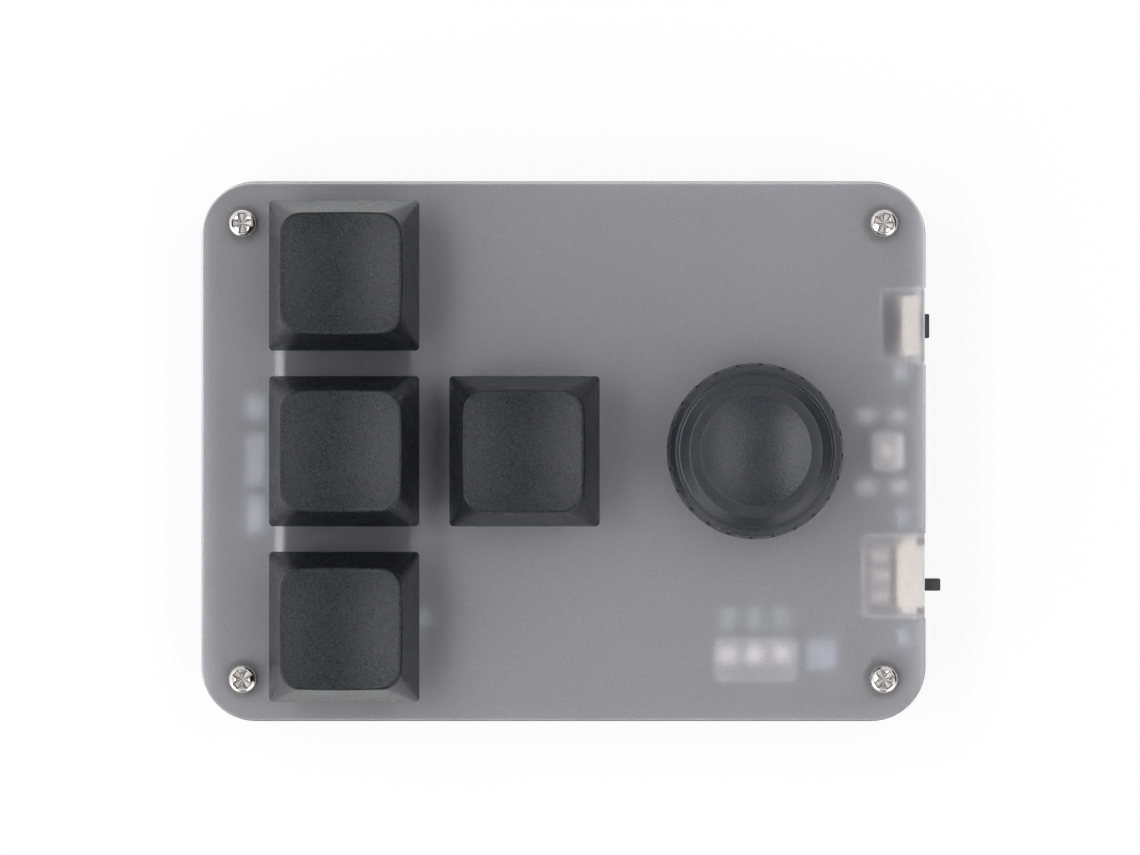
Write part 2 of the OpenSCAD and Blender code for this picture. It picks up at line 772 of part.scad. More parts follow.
module encoder_bushing() at_knob(board_top_z) color("silver") difference() {
  union() {
    translate([0, 0, enc_base_h - bushing_flange.y]) cylinder(h = bushing_flange.y, r = bushing_flange.x);
    translate([0, 0, enc_base_h - tiny])
      cylinder(h = bushing_top - enc_base_h - bushing_edge + tiny, r = bushing_r);
    translate([0, 0, bushing_top - bushing_edge])
      cylinder(h = bushing_edge, r1 = bushing_r, r2 = bushing_r - bushing_edge);
  }
  cylinder(h = bushing_top + over, r = shaft_r + shaft_fit);
}

module encoder_frame() at_knob(board_top_z) color("lightgray") difference() {
  union() {
    block([enc_plate.x, enc_plate.y, enc_plate_t], enc_base_h);
    for (j = [-1, 1]) {
      flap_y = j * (enc_plate.y - enc_plate_t) / 2;
      block([flap_w, enc_plate_t, enc_base_h + tiny], 0, [0, flap_y]);
      block([leg_w, enc_plate_t, enc_pin_below + tiny], -enc_pin_below, [0, flap_y]);
    }
  }
  cylinder(h = bushing_top, r = bushing_r + play);
}

module encoder_base() at_knob(board_top_z) color("black") difference() {
  block([enc_w, enc_w, enc_base_h]);
  translate([0, 0, rotor_z - play]) cylinder(h = enc_base_h, r = rotor_room_r);
  translate([0, 0, dome_room_z]) cylinder(h = enc_base_h, r = dome_room_r);
}

module encoder_pins() at_knob(board_top_z) color("silver")
  for (pin = enc_pin_at) {
    block([enc_pin_w.x, enc_pin_w.y, enc_pin_z + enc_pin_w.x + enc_pin_below], -enc_pin_below, pin);
    block([enc_pin_x - enc_w / 2, enc_pin_w.y, enc_pin_w.x], enc_pin_z,
      [sign(pin.x) * (enc_pin_x + enc_w / 2) / 2, pin.y]);
  }

module encoder_push_dome() at_knob(board_top_z + dome_room_z) color("silver")
  snap_dome(dome_room_r - dome_play, dome_rise, dome_t);

// Side button

module at_edge(y, z = board_top_z) {
  in_place() translate([edge_x, y, z]) children();
}

// A bar along X at half the height of the parts on the edge, with round corners at its outer end
module edge_stem(from_x, to_x, w, h) {
  l = to_x - from_x;
  translate([from_x, 0, (part_h - h) / 2]) linear_extrude(h) {
    translate([0, -w / 2]) square([l - stem_corner_r, w]);
    translate([0, stem_corner_r - w / 2]) square([l, w - 2 * stem_corner_r]);
    for (j = [-1, 1]) translate([l - stem_corner_r, j * (w / 2 - stem_corner_r)]) circle(stem_corner_r);
  }
}

module side_button_housing() at_edge(button_y) color("linen") difference() {
  box([button_x[0], -button_w / 2, 0], [button_x[1] - button_x[0], button_w, part_h]);
  box([button_x[0] + button_wall, -button_room.x / 2, (part_h - button_room.y) / 2],
    [button_x[1] - button_x[0] - 2 * button_wall, button_room.x, button_room.y]);
  box([button_x[1] - button_wall - over, -button_stem.x / 2 - play, (part_h - button_stem.y) / 2 - play],
    [button_wall + 2 * over, button_stem.x + 2 * play, button_stem.y + 2 * play]);
}

module side_button_plunger() at_edge(button_y) color([0.15, 0.15, 0.15]) {
  stop_x = button_x[1] - button_wall - button_stop;
  edge_stem(stop_x - tiny, button_out, button_stem.x, button_stem.y);
  box([stop_x - button_flange.x, -button_flange.y / 2, (part_h - button_flange.z) / 2], button_flange);
}

module side_button_dome() at_edge(button_y) color("silver")
  translate([button_x[0] + button_wall, 0, part_h / 2]) rotate([0, 90, 0])
    snap_dome(button_room.y / 2 - button_dome_play, dome_rise, dome_t);

module side_button_leads() at_edge(button_y) color("silver")
  for (j = [-1, 1]) {
    y = j * button_lead_y - button_lead.y / 2;
    box([button_x[0] - button_lead.x, y, 0], button_lead);
    box([button_x[0] - button_lead.z, y, 0], [button_lead.z, button_lead.y, button_lead_h]);
  }

// Slide switch

module slide_switch_housing() at_edge(slide_y) color("mistyrose") difference() {
  union() {
    box([slide_x[0], -slide_w / 2, 0], [slide_x[1] - slide_x[0], slide_w, part_h]);
    box([slide_tab_x[0], -slide_tab_w / 2, 0], [slide_tab_x[1] - slide_tab_x[0], slide_tab_w, part_h]);
  }
  room_y = slide_block.y + slide_travel + 2 * play;
  box([slide_room_back, -room_y / 2, (part_h - slide_block.z) / 2 - play],
    [slide_x[1] - slide_wall - slide_room_back, room_y, slide_block.z + 2 * play]);
  slot_y = slide_stem + slide_travel + 2 * play;
  box([slide_x[1] - slide_wall - over, -slot_y / 2, (part_h - slide_stem) / 2 - play],
    [slide_wall + 2 * over, slot_y, slide_stem + 2 * play]);
}

// The slider rests at the end of its travel nearest the front
module slide_switch_slider() at_edge(slide_y - slide_travel / 2) color([0.15, 0.15, 0.15]) {
  front = slide_x[1] - slide_wall - play;
  box([front - slide_block.x, -slide_block.y / 2, (part_h - slide_block.z) / 2], slide_block);
  edge_stem(front - tiny, slider_out, slide_stem, slide_stem);
}

module slide_switch_clip() at_edge(slide_y - slide_travel / 2) color("goldenrod") {
  back = slide_x[1] - slide_wall - play - slide_block.x;
  box([back - slide_clip.x, -slide_clip.y / 2, (part_h - slide_clip.z) / 2], slide_clip);
}

module slide_switch_leads() at_edge(slide_y) color("silver")
  for (k = [-1, 0, 1]) {
    y = k * slide_lead_pitch - slide_lead.y / 2;
    box([slide_x[0] - slide_lead.x, y, 0], [slide_lead.x, slide_lead.y, lead_t]);
    box([slide_x[0] - lead_t, y, 0], [lead_t, slide_lead.y, slide_lead_h]);
  }

// USB-C socket

// An oval bar along X, as wide and as tall as the socket plus a gap all round
module usb_oval(l, gap, from_x) {
  r = usb_size.z / 2 + gap;
  flat_y = usb_size.y / 2 - usb_size.z / 2;
  translate([from_x, 0, 0]) rotate([90, 0, 90]) linear_extrude(l) {
    square([2 * flat_y, 2 * r], center = true);
    for (j = [-1, 1]) translate([j * flat_y, 0]) circle(r);
  }
}

module at_usb() {
  at_edge(0, board_z - usb_size.z / 2) translate([-usb_back, 0, 0]) children();
}

module usb_shell() color("silver") {
  at_usb() difference() {
    usb_oval(usb_size.x, 0, -usb_size.x);
    usb_oval(usb_size.x + 2 * over, -usb_wall, -usb_size.x - over);
  }
  at_edge(0, board_z - usb_size.z / 2) for (x = usb_stakes, j = [-1, 1])
    block([usb_stake_w, usb_wall, usb_size.z / 2 + board_t], 0, [x, j * (usb_size.y - usb_wall) / 2]);
}

module usb_tongue() at_usb() color("black") {
  usb_oval(usb_block_l, -usb_wall - usb_block_fit, -usb_size.x);
  box([-usb_size.x + tiny, -usb_tongue_size.y / 2, -usb_tongue_size.z / 2],
    [usb_size.x - usb_tongue_back - tiny, usb_tongue_size.y, usb_tongue_size.z]);
}

module usb_solder() at_edge(0) color("silver")
  for (x = usb_stakes, j = [-1, 1]) {
    ball_r = (usb_mound.x * usb_mound.x + usb_mound.y * usb_mound.y) / (2 * usb_mound.y);
    translate([x, j * (usb_size.y - usb_wall) / 2, 0]) intersection() {
      translate([0, 0, usb_mound.y - ball_r]) sphere(ball_r);
      cylinder(h = over, r = 2 * usb_mound.x);
    }
  }

// Lights

module status_leds() in_place() color("white")
  for (k = [-1, 0, 1])
    translate([edge_x - light_mid.x + k * light_pitch, light_mid.y - case_d / 2, board_top_z])
      difference() {
        block(light_size);
        translate([0, 0, light_size.z - light_cup.y]) cylinder(h = over, r = light_cup.x);
      }

module charge_led() in_place() color("khaki")
  block(charge_size, board_top_z, [edge_x - charge_back, 0]);

// Under the board

module controller_module() in_place() color("darkgreen")
  block(module_size, board_z - module_size.z, [module_at.x, module_at.y + module_size.y / 2]);

module controller_shield() in_place() color("silver")
  block(shield_size, board_z - module_size.z - shield_size.z,
    [module_at.x, module_at.y + shield_in + shield_size.y / 2]);

module battery() in_place() color("lightsteelblue") {
  translate([battery_x, 0, floor_z + pad_t]) linear_extrude(battery_t)
    rounded_square(battery_size.x, battery_size.y, battery_r);
  box([battery_end - tiny, -battery_tab.y / 2, floor_z + pad_t + battery_t / 4],
    [battery_tab.x + tiny, battery_tab.y, battery_tab.z]);
}

module battery_pad() in_place() color("white")
  block([battery_size.x - pad_in, battery_size.y - pad_in, pad_t], floor_z, [battery_x, 0]);

// Both leads run from the battery's tab to the back of the plug, drawing in as they rise
module battery_leads() in_place() color("red")
  for (j = [-1, 1])
    ring_tube([
      for (k = [0:lead_rings]) let (
        s = k / lead_rings,
        ease = (1 - cos(180 * s)) / 2,
        x = lead_from.x + (lead_to.x - lead_from.x) * s,
        y = j * (lead_spread + (lead_pitch / 2 - lead_spread) * ease),
        z = lead_from.y + (lead_to.y - lead_from.y) * ease
      ) [for (a = [0:45:315]) [x, y + lead_r * sin(a), z + lead_r * cos(a)]]
    ]);

module battery_plug() in_place() color("ivory")
  block(plug_size, board_z - (socket_size.z + plug_size.z) / 2, [lead_to.x + plug_size.x / 2, 0]);

module battery_socket() in_place() color("ivory") difference() {
  block(socket_size, board_z - socket_size.z, socket_at);
  low = board_z - (socket_size.z + plug_size.z) / 2 - play;
  box([socket_at.x - socket_size.x / 2 - over, -plug_size.y / 2 - play, low],
    [plug_in + play + over, plug_size.y + 2 * play, plug_size.z + 2 * play]);
}

module key_diodes() in_place() color("black")
  for (at = key_at) {
    block(diode_size, board_z - diode_size.z, at + [0, diode_dy]);
    block(diode_leads, board_z - diode_leads.z, at + [0, diode_dy]);
  }

module chip_parts() in_place() color("dimgray") {
  for (at = coil_at) block(coil_size, board_z - coil_size.z, at);
  for (at = capacitor_at) block(capacitor_size, board_z - capacitor_size.z, at);
  for (at = resistor_at) block(resistor_size, board_z - resistor_size.z, at);
}

base_shell();
top_lid();
circuit_board();
lid_screws();
threaded_inserts();
rubber_feet();
for (i = KEYS) {
  keycap(i);
  switch_stem(i);
  switch_spring(i);
  switch_top(i);
  switch_base(i);
  switch_contacts(i);
}
knob();
encoder_shaft();
encoder_rotor();
encoder_bushing();
encoder_frame();
encoder_base();
encoder_pins();
encoder_push_dome();
side_button_housing();
side_button_plunger();
side_button_dome();
side_button_leads();
slide_switch_housing();
slide_switch_slider();
slide_switch_clip();
slide_switch_leads();
usb_shell();
usb_tongue();
usb_solder();
status_leds();
charge_led();
controller_module();
controller_shield();
battery();
battery_pad();
battery_leads();
battery_plug();
battery_socket();
key_diodes();
chip_parts();
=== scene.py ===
"""Looks of the mini mechanical keyboard.

It makes the camera, the light, the floor and the materials, finer meshes for the keycaps, their
springs, the knob, the screws, the solder mounds and the two actuators on the right edge, and the
plain print on the board.
"""

import json
import math

import bmesh
import bpy
from mathutils import Matrix, Vector


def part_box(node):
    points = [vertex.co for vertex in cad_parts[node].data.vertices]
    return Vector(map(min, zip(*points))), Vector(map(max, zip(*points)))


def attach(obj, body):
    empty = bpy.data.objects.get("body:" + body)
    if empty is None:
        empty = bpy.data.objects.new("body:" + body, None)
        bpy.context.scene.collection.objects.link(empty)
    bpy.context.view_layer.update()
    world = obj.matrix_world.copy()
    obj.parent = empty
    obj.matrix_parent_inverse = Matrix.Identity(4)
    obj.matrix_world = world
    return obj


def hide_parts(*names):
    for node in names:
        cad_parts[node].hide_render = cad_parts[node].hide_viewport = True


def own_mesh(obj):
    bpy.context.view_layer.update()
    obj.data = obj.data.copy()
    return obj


MM = 0.001

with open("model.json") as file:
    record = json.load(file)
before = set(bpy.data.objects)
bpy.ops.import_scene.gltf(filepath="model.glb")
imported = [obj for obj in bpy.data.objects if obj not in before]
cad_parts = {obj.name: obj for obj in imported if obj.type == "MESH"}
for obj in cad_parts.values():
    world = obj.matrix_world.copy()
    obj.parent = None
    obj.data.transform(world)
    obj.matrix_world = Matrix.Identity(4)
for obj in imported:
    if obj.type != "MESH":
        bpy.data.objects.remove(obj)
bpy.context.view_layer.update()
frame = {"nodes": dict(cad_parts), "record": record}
deck_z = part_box("top_lid")[1].z
board_top_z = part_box("status_leds")[0].z


def middle(box):
    """The middle of a box."""
    low, high = box
    return (low + high) / 2


# Camera: it looked straight down, and the photograph was cropped off its axis

PHOTO_W, PHOTO_H = 1140, 855
# The photograph's scale at the lid's top
LID_PX_PER_MM = 8.22
CAMERA_ABOVE_LID = 620 * MM
# The point straight below the camera, in the photograph and in the frame
NADIR_PX = (615, 454)
NADIR = Vector((5.4 * MM, -0.34 * MM))
SENSOR_W = 36.0
CLIP = (0.01, 20)


def make_camera():
    """Puts the camera above the nadir and shifts its frame to the photograph's."""
    view_w = PHOTO_W / LID_PX_PER_MM * MM
    data = bpy.data.cameras.new("camera")
    data.sensor_width = SENSOR_W
    data.lens = SENSOR_W * CAMERA_ABOVE_LID / view_w
    data.shift_x = (PHOTO_W / 2 - NADIR_PX[0]) / PHOTO_W
    data.shift_y = (NADIR_PX[1] - PHOTO_H / 2) / PHOTO_W
    data.clip_start, data.clip_end = CLIP
    camera = bpy.data.objects.new("camera", data)
    camera.location = (NADIR.x, NADIR.y, deck_z + CAMERA_ABOVE_LID)
    bpy.context.scene.collection.objects.link(camera)
    bpy.context.scene.camera = camera


def on_board(px, py):
    """The place on the board's top, in metres, that the photograph shows at a pixel."""
    below = deck_z - board_top_z
    scale = MM / LID_PX_PER_MM * (CAMERA_ABOVE_LID + below) / CAMERA_ABOVE_LID
    return NADIR.x + (px - NADIR_PX[0]) * scale, NADIR.y + (NADIR_PX[1] - py) * scale


# Nodes

def math_node(tree, operation, *values):
    """A Math node's output. A value is a number or another node's output."""
    node = tree.nodes.new("ShaderNodeMath")
    node.operation = operation
    for socket, value in zip(node.inputs, values):
        if isinstance(value, (int, float)):
            socket.default_value = value
        else:
            tree.links.new(value, socket)
    return node.outputs[0]


def combine(tree, operation, values):
    """Joins several values by one operation, such as their sum or product."""
    result = values[0]
    for value in values[1:]:
        result = math_node(tree, operation, result, value)
    return result


def vector_node(tree, operation, *values):
    """A Vector Math node's output. A value is a vector or another node's output."""
    node = tree.nodes.new("ShaderNodeVectorMath")
    node.operation = operation
    for socket, value in zip(node.inputs, values):
        if isinstance(value, (tuple, Vector)):
            socket.default_value = value
        else:
            tree.links.new(value, socket)
    return node.outputs["Value" if operation in ("LENGTH", "DOT_PRODUCT") else "Vector"]


def ramp(tree, value, start, end, low, high, smooth=True):
    """Goes from low to high as value goes from start to end, and stays there beyond them."""
    node = tree.nodes.new("ShaderNodeMapRange")
    node.interpolation_type = "SMOOTHSTEP" if smooth else "LINEAR"
    limits = {"From Min": start, "From Max": end, "To Min": low, "To Max": high}
    for name, number in limits.items():
        node.inputs[name].default_value = number
    tree.links.new(value, node.inputs["Value"])
    return node.outputs["Result"]


def object_place(tree):
    """Where a point lies in its object's axes."""
    return tree.nodes.new("ShaderNodeTexCoord").outputs["Object"]


def split(tree, vector):
    """A vector's outputs named X, Y and Z."""
    node = tree.nodes.new("ShaderNodeSeparateXYZ")
    tree.links.new(vector, node.inputs[0])
    return node.outputs


def outline_distance(tree, place, centre, size, radius):
    """How far a place lies outside a rounded rectangle in X and Y, in metres.

    Inside it the distance is negative.
    """
    offset = vector_node(tree, "SUBTRACT", place, (*centre, 0))
    flat = vector_node(tree, "MULTIPLY", offset, (1, 1, 0))
    inner = (size[0] / 2 - radius, size[1] / 2 - radius, 0)
    past = vector_node(tree, "SUBTRACT", vector_node(tree, "ABSOLUTE", flat), inner)
    outside = vector_node(tree, "LENGTH", vector_node(tree, "MAXIMUM", past, (0, 0, 0)))
    parts = split(tree, past)
    nearest = math_node(tree, "MAXIMUM", parts["X"], parts["Y"])
    inside = math_node(tree, "MINIMUM", nearest, 0.0)
    return math_node(tree, "SUBTRACT", math_node(tree, "ADD", outside, inside), radius)


def multiply_colour(tree, factor):
    """Multiplies the shader's colour by a number or a colour that other nodes make."""
    colour = tree.nodes["Principled BSDF"].inputs["Base Color"]
    tree.links.new(vector_node(tree, "MULTIPLY", colour.links[0].from_socket, factor), colour)


def reflected_rays(tree, path):
    """1 for rays that a glossy or clear surface sends on, such as metal's and glass's."""
    glossy, through = path.outputs["Is Glossy Ray"], path.outputs["Is Transmission Ray"]
    return math_node(tree, "MAXIMUM", glossy, through)


# Light and floor

# The room's brightness as a light. In reflections and through clear bodies it is 1
WORLD_LIGHT = 0.78
# Its share straight above, and the cosines off the zenith between which it dims
ZENITH_SHARE = 0.33
ZENITH_FROM = (0.55, 0.95)
# Its share in front of and behind the object, beside its left and right, and those cosines
FRONT_SHARE = 0.7
FRONT_FROM = (0.3, 0.9)
# Darker or brighter parts of the room: direction, the cosines of their inner and outer edges, and
# their share
SPOTS = [
    ((1, 0.28, 0.08), 0.87, 0.8, 0.03),
    ((0, -1, 0.08), 0.975, 0.94, 0.05),
    ((-0.75, -0.66, 0.25), 0.93, 0.86, 2.6),
    ((0.6, -0.8, 0.25), 0.95, 0.89, 2.2),
]
# On the floor they begin this far from the object's middle
SPOTS_FROM = (0.13, 0.24)
# Soft boxes: how far to the side, and watts
LAMPS = [(-0.35, 3.1), (0.29, 1.9)]
LAMP_SIZE = (0.22, 0.8)
LAMP_Z = 0.78
FLOOR_WHITE = 0.95
FLOOR_SHOWN_WHITE = 0.88
FLOOR_SIZE = 6.0
# The floor's share of light under the case, and how far in from its edge the shade grows
UNDER_SHARE = 0.2
SHADE_R = 3 * MM


def spots(tree, direction):
    """How bright the room looks in a direction, beside its usual brightness of 1."""
    shares = []
    for axis, inner, outer, share in SPOTS:
        along = vector_node(tree, "DOT_PRODUCT", direction, Vector(axis).normalized())
        shares.append(ramp(tree, along, outer, inner, 1.0, share))
    return combine(tree, "MULTIPLY", shares)


def make_world():
    """A white room, which is dimmer above, in front and behind for every ray but the camera's."""
    world = bpy.data.worlds.new("studio")
    bpy.context.scene.world = world
    world.use_nodes = True
    tree = world.node_tree
    tree.nodes.clear()
    path = tree.nodes.new("ShaderNodeLightPath")
    direction = tree.nodes.new("ShaderNodeTexCoord").outputs["Generated"]
    up = vector_node(tree, "DOT_PRODUCT", direction, (0, 0, 1))
    along = math_node(tree, "ABSOLUTE", vector_node(tree, "DOT_PRODUCT", direction, (0, 1, 0)))
    above = ramp(tree, up, *ZENITH_FROM, 1.0, ZENITH_SHARE)
    in_front = ramp(tree, along, *FRONT_FROM, 1.0, FRONT_SHARE)
    share = ramp(tree, reflected_rays(tree, path), 0, 1, WORLD_LIGHT, 1.0, smooth=False)
    room = combine(tree, "MULTIPLY", [above, spots(tree, direction), in_front, share])
    back = tree.nodes.new("ShaderNodeBackground")
    strength = math_node(tree, "MAXIMUM", path.outputs["Is Camera Ray"], room)
    tree.links.new(strength, back.inputs["Strength"])
    back.inputs["Color"].default_value = (1, 1, 1, 1)
    out = tree.nodes.new("ShaderNodeOutputWorld")
    tree.links.new(back.outputs[0], out.inputs["Surface"])


def make_lamps():
    """Two tall soft boxes, one on each side and above the camera's height."""
    for x, watts in LAMPS:
        data = bpy.data.lights.new("softbox", "AREA")
        data.shape = "RECTANGLE"
        data.size, data.size_y = LAMP_SIZE
        data.energy = watts
        lamp = bpy.data.objects.new("softbox", data)
        lamp.location = (x, 0, LAMP_Z)
        lamp.rotation_euler = (0, math.atan2(x, LAMP_Z), 0)
        bpy.context.scene.collection.objects.link(lamp)


def floor_glow(tree, path):
    """The floor's shown brightness: the room's spots in reflections, and shade under the case."""
    place = object_place(tree)
    far = ramp(tree, vector_node(tree, "LENGTH", place), *SPOTS_FROM, 0, 1)
    change = math_node(tree, "SUBTRACT", spots(tree, vector_node(tree, "NORMALIZE", place)), 1.0)
    change = combine(tree, "MULTIPLY", [change, far, path.outputs["Is Glossy Ray"]])
    low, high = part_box("base_shell")
    away = outline_distance(tree, place, ((low + high) / 2)[:2], (high - low)[:2], SHADE_R)
    shade = ramp(tree, away, -SHADE_R, 0, 1 - UNDER_SHARE, 0)
    shade = math_node(tree, "MULTIPLY", shade, path.outputs["Is Transmission Ray"])
    return math_node(tree, "SUBTRACT", math_node(tree, "ADD", change, 1.0), shade)


def make_floor():
    """A pale floor that looks nearly even white, yet keeps some of the object's shadow."""
    bm = bmesh.new()
    bmesh.ops.create_grid(bm, x_segments=1, y_segments=1, size=FLOOR_SIZE / 2)
    mesh = bpy.data.meshes.new("floor")
    bm.to_mesh(mesh)
    bm.free()
    floor = bpy.data.objects.new("floor", mesh)
    bpy.context.scene.collection.objects.link(floor)
    material = bpy.data.materials.new("floor")
    material.use_nodes = True
    tree = material.node_tree
    tree.nodes.clear()
    lit = tree.nodes.new("ShaderNodeBsdfDiffuse")
    lit.inputs["Color"].default_value = (FLOOR_WHITE, FLOOR_WHITE, FLOOR_WHITE, 1)
    shown = tree.nodes.new("ShaderNodeEmission")
    path = tree.nodes.new("ShaderNodeLightPath")
    tree.links.new(floor_glow(tree, path), shown.inputs["Strength"])
    seen = math_node(tree, "MAXIMUM", path.outputs["Is Camera Ray"], reflected_rays(tree, path))
    mix = tree.nodes.new("ShaderNodeMixShader")
    tree.links.new(math_node(tree, "MULTIPLY", seen, FLOOR_SHOWN_WHITE), mix.inputs["Fac"])
    tree.links.new(lit.outputs[0], mix.inputs[1])
    tree.links.new(shown.outputs[0], mix.inputs[2])
    out = tree.nodes.new("ShaderNodeOutputMaterial")
    tree.links.new(mix.outputs[0], out.inputs["Surface"])
    mesh.materials.append(material)


# Materials

IOR = 1.45
BROAD_DETAIL = 3
FINE_DETAIL = 2
# The noise's values at which the colour is darkest and brightest
NOISE_SPAN = (0.3, 0.7)
LEAST_ROUGH = 0.02

# Colour, roughness, and what differs from a usual surface
LOOKS = {
    "base_plastic": ((0.27, 0.27, 0.285), 0.56, dict(
        spread=0.02, rough_spread=0.02, transmission=0.1, grain=0.12, bump=0.004, speckle=0.02,
    )),
    "frosted_lid": ((0.92, 0.915, 0.96), 0.56, dict(
        spread=0.01, rough_spread=0.02, transmission=0.86, grain=0.2, bump=0.006, speckle=0.1,
    )),
    "board": ((0.02, 0.022, 0.026), 0.4, dict(spread=0.3, patch=2)),
    "screw_steel": ((0.84, 0.8, 0.77), 0.12, dict(
        metallic=1.0, spread=0.04, patch=0.8, rough_spread=0.03, grain=0.08, bump=0.001,
    )),
    "brass": ((0.78, 0.57, 0.28), 0.3, dict(metallic=1.0)),
    "foot_rubber": ((0.02, 0.02, 0.02), 0.8, {}),
    "keycap_plastic": ((0.0165, 0.0172, 0.0225), 0.27, dict(
        specular=0.33, spread=0.1, grain=0.17, bump=0.04, speckle=1.0,
    )),
    "stem_plastic": ((0.2, 0.07, 0.03), 0.35, {}),
    "spring_steel": ((0.6, 0.6, 0.6), 0.25, dict(metallic=1.0)),
    "switch_plastic": ((0.02, 0.02, 0.021), 0.45, {}),
    "knob_plastic": ((0.0205, 0.0212, 0.0275), 0.29, dict(
        spread=0.08, grain=0.18, bump=0.03, speckle=0.6,
    )),
    "shaft_aluminium": ((0.7, 0.7, 0.7), 0.3, dict(metallic=1.0)),
    "rotor_plastic": ((0.75, 0.75, 0.72), 0.5, {}),
    "sheet_steel": ((0.6, 0.6, 0.61), 0.3, dict(metallic=1.0)),
    # Its glow is painted light: the housings are no lamp
    "cream_plastic": ((0.95, 0.87, 0.72), 0.5, dict(spread=0.04, glow=0.07)),
    "black_plastic": ((0.025, 0.025, 0.027), 0.45, {}),
    "tinned_leads": ((0.88, 0.85, 0.83), 0.5, dict(metallic=0.3)),
    "led_white": ((0.9, 0.86, 0.8), 0.3, dict(glow=0.2)),
    "led_warm": ((0.9, 0.78, 0.6), 0.3, dict(glow=0.9)),
    "battery_foil": ((0.65, 0.66, 0.7), 0.35, dict(metallic=0.8)),
    "foam": ((0.8, 0.8, 0.78), 0.9, dict(bump=0.05)),
    "lead_sheath": ((0.5, 0.03, 0.02), 0.4, {}),
    "connector_plastic": ((0.8, 0.77, 0.66), 0.45, {}),
    "chip_plastic": ((0.03, 0.03, 0.03), 0.5, {}),
    "print_pale": ((0.42, 0.47, 0.54), 0.6, {}),
    "print_grey": ((0.58, 0.65, 0.6), 0.6, {}),
    "print_bright": ((0.7, 0.75, 0.82), 0.6, {}),
    # Their glow is painted light: the leads are no lamp
    "slide_leads": ((0.95, 0.8, 0.7), 0.5, dict(spread=0.05, glow=0.12)),
}


def noise(tree, place, size, detail):
    """Noise between 0 and 1 with patches of a size in mm."""
    node = tree.nodes.new("ShaderNodeTexNoise")
    node.inputs["Scale"].default_value = 1 / (size * MM)
    node.inputs["Detail"].default_value = detail
    tree.links.new(place, node.inputs["Vector"])
    return node.outputs["Fac"]


def surface(
    name,
    colour,
    roughness,
    metallic=0.0,
    specular=0.5,
    spread=0.06,
    patch=4.0,
    grain=0.15,
    bump=0.02,
    rough_spread=0.06,
    transmission=0.0,
    speckle=0.0,
    glow=0.0,
):
    """A material whose colour, roughness and height vary a little.

    patch and grain are the sizes of its broad and fine noise, and bump is its height, all in mm.
    """
    material = bpy.data.materials.new(name)
    material.use_nodes = True
    tree = material.node_tree
    shader = tree.nodes["Principled BSDF"]
    settings = {
        "Metallic": metallic,
        "Specular IOR Level": specular,
        "Transmission Weight": transmission,
        "IOR": IOR,
        "Emission Color": (*colour, 1),
        "Emission Strength": glow,
    }
    for setting, value in settings.items():
        shader.inputs[setting].default_value = value
    place = object_place(tree)
    broad = noise(tree, place, patch, BROAD_DETAIL)
    fine = noise(tree, place, grain, FINE_DETAIL)
    tint = tree.nodes.new("ShaderNodeValToRGB")
    shares = (1 - spread, 1 + spread)
    for element, position, share in zip(tint.color_ramp.elements, NOISE_SPAN, shares):
        element.position = position
        element.color = (*(min(1, c * share) for c in colour), 1)
    tree.links.new(broad, tint.inputs["Fac"])
    specks = ramp(tree, fine, *NOISE_SPAN, 1 - speckle, 1 + speckle, smooth=False)
    speckled = vector_node(tree, "MULTIPLY", tint.outputs["Color"], specks)
    tree.links.new(speckled, shader.inputs["Base Color"])
    least_rough = max(LEAST_ROUGH, roughness - rough_spread)
    rough = ramp(tree, broad, 0, 1, least_rough, roughness + rough_spread, smooth=False)
    tree.links.new(rough, shader.inputs["Roughness"])
    height = tree.nodes.new("ShaderNodeBump")
    height.inputs["Strength"].default_value = 1
    height.inputs["Distance"].default_value = bump * MM
    tree.links.new(fine, height.inputs["Height"])
    tree.links.new(height.outputs["Normal"], shader.inputs["Normal"])
    return material


# Lid: its milkiness and its corners' radius
LID_MILK = 0.14
LID_CORNER_R = 6.4 * MM
# How many times that it gains at its left and right edges, which is a painted glow, how wide
# the glow is and how it fades
LID_GLOW = (1.2, 1.3)
LID_GLOW_W = 3.0 * MM
LID_GLOW_POWER = 3
# The same at its front and back rim, which is painted light too
LID_RIM = (1.4, 5.0)
LID_RIM_W = 0.3 * MM


